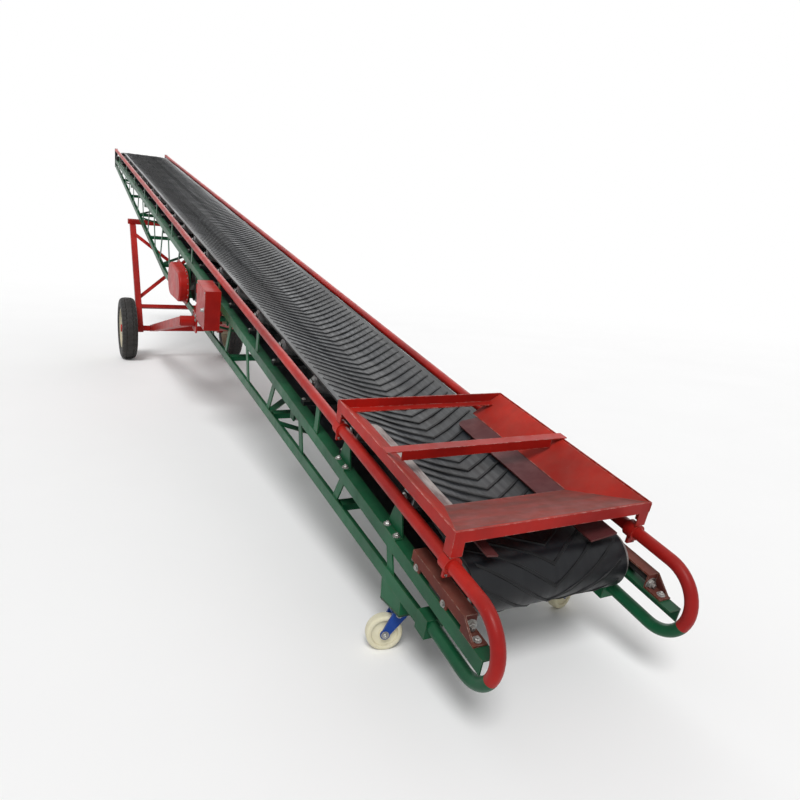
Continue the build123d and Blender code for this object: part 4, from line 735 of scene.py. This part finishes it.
def makeMotor(k):  # rings along the axis: plain where the bells and the cowl are, cut into fins in between
    low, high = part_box("motor")
    face = np.array([high.x - k["length"], (low.y + high.y) / 2, (low.z + high.z) / 2])
    t = np.arange(k["fins"] * 4) * 2 * pi / (k["fins"] * 4)
    fins = np.where(np.arange(len(t)) % 4 < 2, k["radius"], k["finFoot"])
    stops = [(0.000, 0.050), (0.000, 0.068), (0.006, k["bell"]), (0.034, k["bell"]), (0.035, k["finFoot"]),
             (0.038, fins), (0.212, fins), (0.215, k["finFoot"]), (0.216, k["cowl"]), (0.280, k["cowl"]),
             (0.292, 0.070), (0.2995, 0.058), (0.2995, 0.034), (0.294, 0.030)]
    rings = [np.stack([x + 0 * t, r * np.cos(t), r * np.sin(t)], axis=-1) for x, r in stops]
    body = stackRings(np.stack(rings) + face)
    shaft = placeCopies(latheShape(k["shaft"], 24), face, (-1, 0, 0))
    seat = face + k["boxAt"] * acrossDir + aboveDir * k["bell"]
    box = placeCopies(blockShape(*k["boxHalf"], k["boxHeight"], 0.006), seat, aboveDir)
    lidSeat = seat + aboveDir * (k["boxHeight"] - 0.001)
    lid = placeCopies(blockShape(*k["lidHalf"], k["lidHeight"], 0.003), lidSeat, aboveDir)
    whole = joinShapes([body, shaft, box, lid])
    putPiece("motorBody", whole, "boom", skins["motor_grey"], 30.0, ("motor",))


makeMotor(beltMotor)
print("motor made")

# fasteners on the boom: each row has its distance from the middle, its height and its size
fasteners = {"footPlaces": (0.355, 0.812), "footSet": 0.036, "footNut": (0.361, -0.124, 0.0095),
             "footBolt": (0.361, -0.135, 0.0085), "idlers": 20, "idlerNut": (0.3085, -0.028, 0.0125),
             "idlerBolt": (0.330, -0.110, 0.0065), "idlerSet": 0.009,
             "tabs": (-0.020, 0.148), "tabBolt": (0.375, -0.119, 0.0080),
             "takeUpU": (-0.170, 0.196), "takeUpNut": (0.352, (-0.124, -0.130), 0.0095),
             "screwU": -0.124, "screwNut": (0.3489, -0.113, 0.0150),
             "headU": (10.142, 10.198), "headBolt": (0.349, -0.077, 0.0105),
             "clamps": (0.012, 0.865), "ear": (0.3605, -0.026), "earSize": (0.017, 0.006, 0.024, 0.002),
             "earNut": (0.3665, -0.039, 0.0075),
             "armU": 3.680, "armV": 0.385, "armStep": 0.056, "armRise": (0.0416, 0.0116), "armSize": 0.0105,
             "drum": (4.125, -0.368), "drumV": 0.3552, "drumCircle": 0.058, "drumSize": 0.0095}


def makeFasteners(k):  # a bolt or nut copied to each place in its row, on both sides of the boom
    zinc, ears = [], []
    feet = np.array([u + step * k["footSet"] for u in k["footPlaces"] for step in (-1, 1)])
    idlerU = beltLoop["idlerFirst"] + beltLoop["idlerPitch"] * np.arange(k["idlers"])
    t = np.arange(4) * pi / 2 + pi / 4
    for side in (-1, 1):
        out = acrossDir * side
        rows = [(nut, k["footNut"], feet, aboveDir), (bolt, k["footBolt"], feet, -aboveDir),
                (nut, k["idlerNut"], idlerU, out), (bolt, k["idlerBolt"], idlerU + k["idlerSet"], aboveDir),
                (bolt, k["tabBolt"], k["tabs"], out), (nut, k["takeUpNut"], k["takeUpU"], aboveDir),
                (nut, k["screwNut"], k["screwU"], -alongDir), (bolt, k["headBolt"], k["headU"], aboveDir),
                (nut, k["earNut"], k["clamps"], out)]
        zinc += [placeCopies(shape, toRow(side * v, u, w), way, size) for shape, (v, w, size), u, way in rows]
        earV, earW = k["ear"]
        earSeats = toRow(side * earV, k["clamps"], earW)
        ears.append(placeCopies(blockShape(*k["earSize"]), earSeats, -aboveDir, 1.0, pi / 2))
        armU = k["armU"] + k["armStep"] * np.array([-1, 1, -1, 1])
        armW = lowerEdge(k["armU"]) + np.repeat(k["armRise"], 2)
        zinc.append(placeCopies(bolt, toRow(side * k["armV"], armU, armW), out, k["armSize"]))
        drumU, drumW = k["drum"][0] + k["drumCircle"] * np.cos(t), k["drum"][1] + k["drumCircle"] * np.sin(t)
        zinc.append(placeCopies(bolt, toRow(side * k["drumV"], drumU, drumW), -out, k["drumSize"]))
    putPiece("boomBolts", joinShapes(zinc), "boom", skins["zinc"], 30.0)
    putPiece("clampEars", joinShapes(ears), "boom", skins["red_paint"], 30.0)


makeFasteners(fasteners)

# guard flange bolts: points at even steps round the teardrop outline, ten millimetres inside the flange's edge
guardBolts = {"drum": (4.125, -0.368), "drumReach": 0.131, "motorReach": 0.149, "count": 9, "swing": radians(80.0),
              "face": -0.3803, "size": 0.0052}


def makeGuardBolts(k):  # angles round each end circle: the drum's far half and the motor's far half
    y, z = middleOf("motor")[1:] - [rowShift, boomFrame["railHeight"]]
    drumU, drumW = k["drum"]
    motorU, motorW = y * boomCos + z * boomSin, z * boomCos - y * boomSin
    t = np.arctan2(motorW - drumW, motorU - drumU) + np.linspace(-1, 1, k["count"]) * k["swing"]
    u = np.concatenate([drumU - k["drumReach"] * np.cos(t), motorU + k["motorReach"] * np.cos(t)])
    w = np.concatenate([drumW - k["drumReach"] * np.sin(t), motorW + k["motorReach"] * np.sin(t)])
    screws = placeCopies(bolt, toRow(k["face"], u, w), (-1, 0, 0), k["size"])
    putPiece("guardScrews", screws, "boom", skins["zinc"], 30.0)


makeGuardBolts(guardBolts)
print("fasteners set")

# control box: a turn latch and corner screws on the door, and a plug in the cable hole
boxFittings = {"face": -0.4746, "u": (2.900, 3.170), "w": (-0.315, -0.055), "screwSet": 0.014, "screwSize": 0.0042,
               "latchSet": 0.028, "latch": [(0.003, 0.0), (0.016, 0.0), (0.016, 0.004), (0.012, 0.007), (0.011, 0.015),
                                            (0.009, 0.017), (0.003, 0.017)],
               "grip": (0.0105, 0.0028, 0.006, 0.001), "gripAt": 0.016,
               "plugAt": (-0.4228, 3.036, -0.315), "collar": 0.0155,
               "plug": [(0.002, -0.004), (0.0098, -0.004), (0.0098, 0.016), (0.0110, 0.018), (0.0105, 0.024),
                        (0.002, 0.027)]}


def makeBoxFittings(k):  # turned profiles on the door's face and under the box's floor, and a screw at each corner
    seat = toRow(k["face"], k["u"][0] + k["latchSet"], sum(k["w"]) / 2)
    grip = placeCopies(blockShape(*k["grip"]), seat - acrossDir * k["gripAt"], (-1, 0, 0))
    inset = np.array([1, -1]) * k["screwSet"]
    corners = toRow(k["face"], np.repeat(k["u"] + inset, 2), np.tile(k["w"] + inset, 2))
    parts = [placeCopies(latheShape(k["latch"], 28), seat, (-1, 0, 0)), grip,
             placeCopies(bolt, corners, (-1, 0, 0), k["screwSize"])]
    putPiece("doorLatch", joinShapes(parts), "box_door", skins["zinc"], 30.0)
    t = np.arange(6) * pi / 3
    hexRing = np.stack([np.cos(t), np.sin(t), 0 * t], axis=-1) * k["collar"]
    collar = stackRings([hexRing, hexRing + [0, 0, 0.008], hexRing * 0.85 + [0, 0, 0.010]])
    fit = [placeCopies(s, toRow(*k["plugAt"]), -aboveDir) for s in (collar, latheShape(k["plug"], 24))]
    putPiece("cablePlug", joinShapes(fit), "boom", skins["dark_steel"], 30.0)


makeBoxFittings(boxFittings)
print("control box fitted")

# weld beads: at each lattice bar on both chords, and at the rail posts' feet and tops
welds = {"barFirst": 0.322, "barPitch": 0.472, "bars": 21, "lean": radians(21.5), "barHalf": 0.020, "radius": 0.0028,
         "barV": 0.3706, "barFoot": 0.005, "barTop": -0.017, "drumU": 4.125, "drumClear": 0.08,
         "postFirst": 1.090, "postPitch": 0.950, "posts": 10, "postHalf": 0.018, "postV": 0.3735,
         "postW": (-0.1295, -0.0165)}


def makeWelds(k):  # each bar's middle line crosses a chord where its lean carries it, and a bead spans its width there
    starts, ends = [], []
    i = np.arange(k["bars"])
    mid = k["barFirst"] + k["barPitch"] * i
    keep = np.abs(mid - k["drumU"]) > k["drumClear"]
    i, mid = i[keep], mid[keep]
    way = np.where(i % 2, -1.0, 1.0)
    foot, top = lowerEdge(mid), boomFrame["upperTop"]
    centre = (foot + k["barFoot"] + top + k["barTop"]) / 2
    posts = k["postFirst"] + k["postPitch"] * np.arange(k["posts"])
    for side in (-1, 1):
        for w in (foot + boomFrame["chordLeg"], 0 * foot + top - boomFrame["chordLeg"]):
            u = mid + way * tan(k["lean"]) * (w - centre)
            starts.append(toRow(side * k["barV"], u - k["barHalf"], w))
            ends.append(toRow(side * k["barV"], u + k["barHalf"], w))
        for w in k["postW"]:
            starts.append(toRow(side * k["postV"], posts - k["postHalf"], w))
            ends.append(toRow(side * k["postV"], posts + k["postHalf"], w))
    beads = weldBeads(np.concatenate(starts), np.concatenate(ends), k["radius"])
    putPiece("trussWelds", beads, "boom", skins["green_paint"], 60.0)


makeWelds(welds)
print("welds run")

# floor, light and background
stageLook = {"floor": (0.94, 0.94, 0.94), "cloudy": 0.98, "size": 60.0, "nearFade": 7.5, "farFade": 16.0, "fill": 0.44,
             "sun": 2.0, "sunSoft": radians(24.0), "sunTurn": (radians(38.0), radians(6.0), radians(-38.0)),
             "sky": 0.55, "skySoft": radians(50.0), "skyTurn": (radians(-64.0), 0.0, radians(-28.0))}


def makeStage(k):  # a flat grid that fades to the white background with distance, two broad lamps and a plain world
    half = k["size"] / 2
    side = np.linspace(-half, half, 9)
    points = np.stack(np.broadcast_arrays(side[:, None], side[None, :], 0.0 * side[:, None]), axis=-1).reshape(-1, 3)
    mesh = bpy.data.meshes.new("studioFloor")
    mesh.from_pydata(points.tolist(), [], gridFaces(9, 9, False, False)[:, ::-1].tolist())
    floor = bpy.data.objects.new("studioFloor", mesh)
    bpy.context.scene.collection.objects.link(floor)
    skin, tree, shader = newSkin("floorSkin")
    shader.inputs["Roughness"].default_value = 0.9
    place = placeOf(tree)
    patches = spread(tree, cloud(tree, place, 0.7), 0.3, 0.7)
    dim = tuple(c * k["cloudy"] for c in k["floor"])
    feed(tree, tint(tree, patches, k["floor"], dim), shader.inputs["Base Color"])
    ray = tree.nodes.new("ShaderNodeLightPath")
    length = tree.nodes.new("ShaderNodeVectorMath")
    length.operation = "LENGTH"
    tree.links.new(place, length.inputs[0])
    fade = spread(tree, length.outputs["Value"], k["nearFade"], k["farFade"])
    seen = sums(tree, "MULTIPLY", ray.outputs["Is Camera Ray"], fade)
    glow = tree.nodes.new("ShaderNodeEmission")
    blend = tree.nodes.new("ShaderNodeMixShader")
    out = next(n for n in tree.nodes if n.type == "OUTPUT_MATERIAL")
    feed(tree, seen, blend.inputs[0])
    tree.links.new(shader.outputs[0], blend.inputs[1])
    tree.links.new(glow.outputs[0], blend.inputs[2])
    tree.links.new(blend.outputs[0], out.inputs[0])
    mesh.materials.append(skin)
    for key in ("sun", "sky"):  # the key light, and a broad one beyond the head that draws the belt's sheen
        light = bpy.data.lights.new(key + "Lamp", "SUN")
        light.energy = k[key]
        light.angle = k[key + "Soft"]
        lamp = bpy.data.objects.new(key + "Lamp", light)
        lamp.rotation_euler = k[key + "Turn"]
        bpy.context.scene.collection.objects.link(lamp)
    world = bpy.data.worlds.new("studioWorld")
    world.use_nodes = True
    tree = world.node_tree
    tree.nodes.clear()
    ray = tree.nodes.new("ShaderNodeLightPath")
    mirrored = sums(tree, "MAXIMUM", ray.outputs["Is Glossy Ray"], ray.outputs["Is Transmission Ray"])
    white = sums(tree, "MAXIMUM", ray.outputs["Is Camera Ray"], mirrored)
    back = tree.nodes.new("ShaderNodeBackground")
    feed(tree, spread(tree, white, 0.0, 1.0, k["fill"], 1.0), back.inputs["Strength"])
    out = tree.nodes.new("ShaderNodeOutputWorld")
    tree.links.new(back.outputs[0], out.inputs[0])
    back.inputs["Color"].default_value = (1.0, 1.0, 1.0, 1.0)
    bpy.context.scene.world = world


makeStage(stageLook)
print("stage lit")
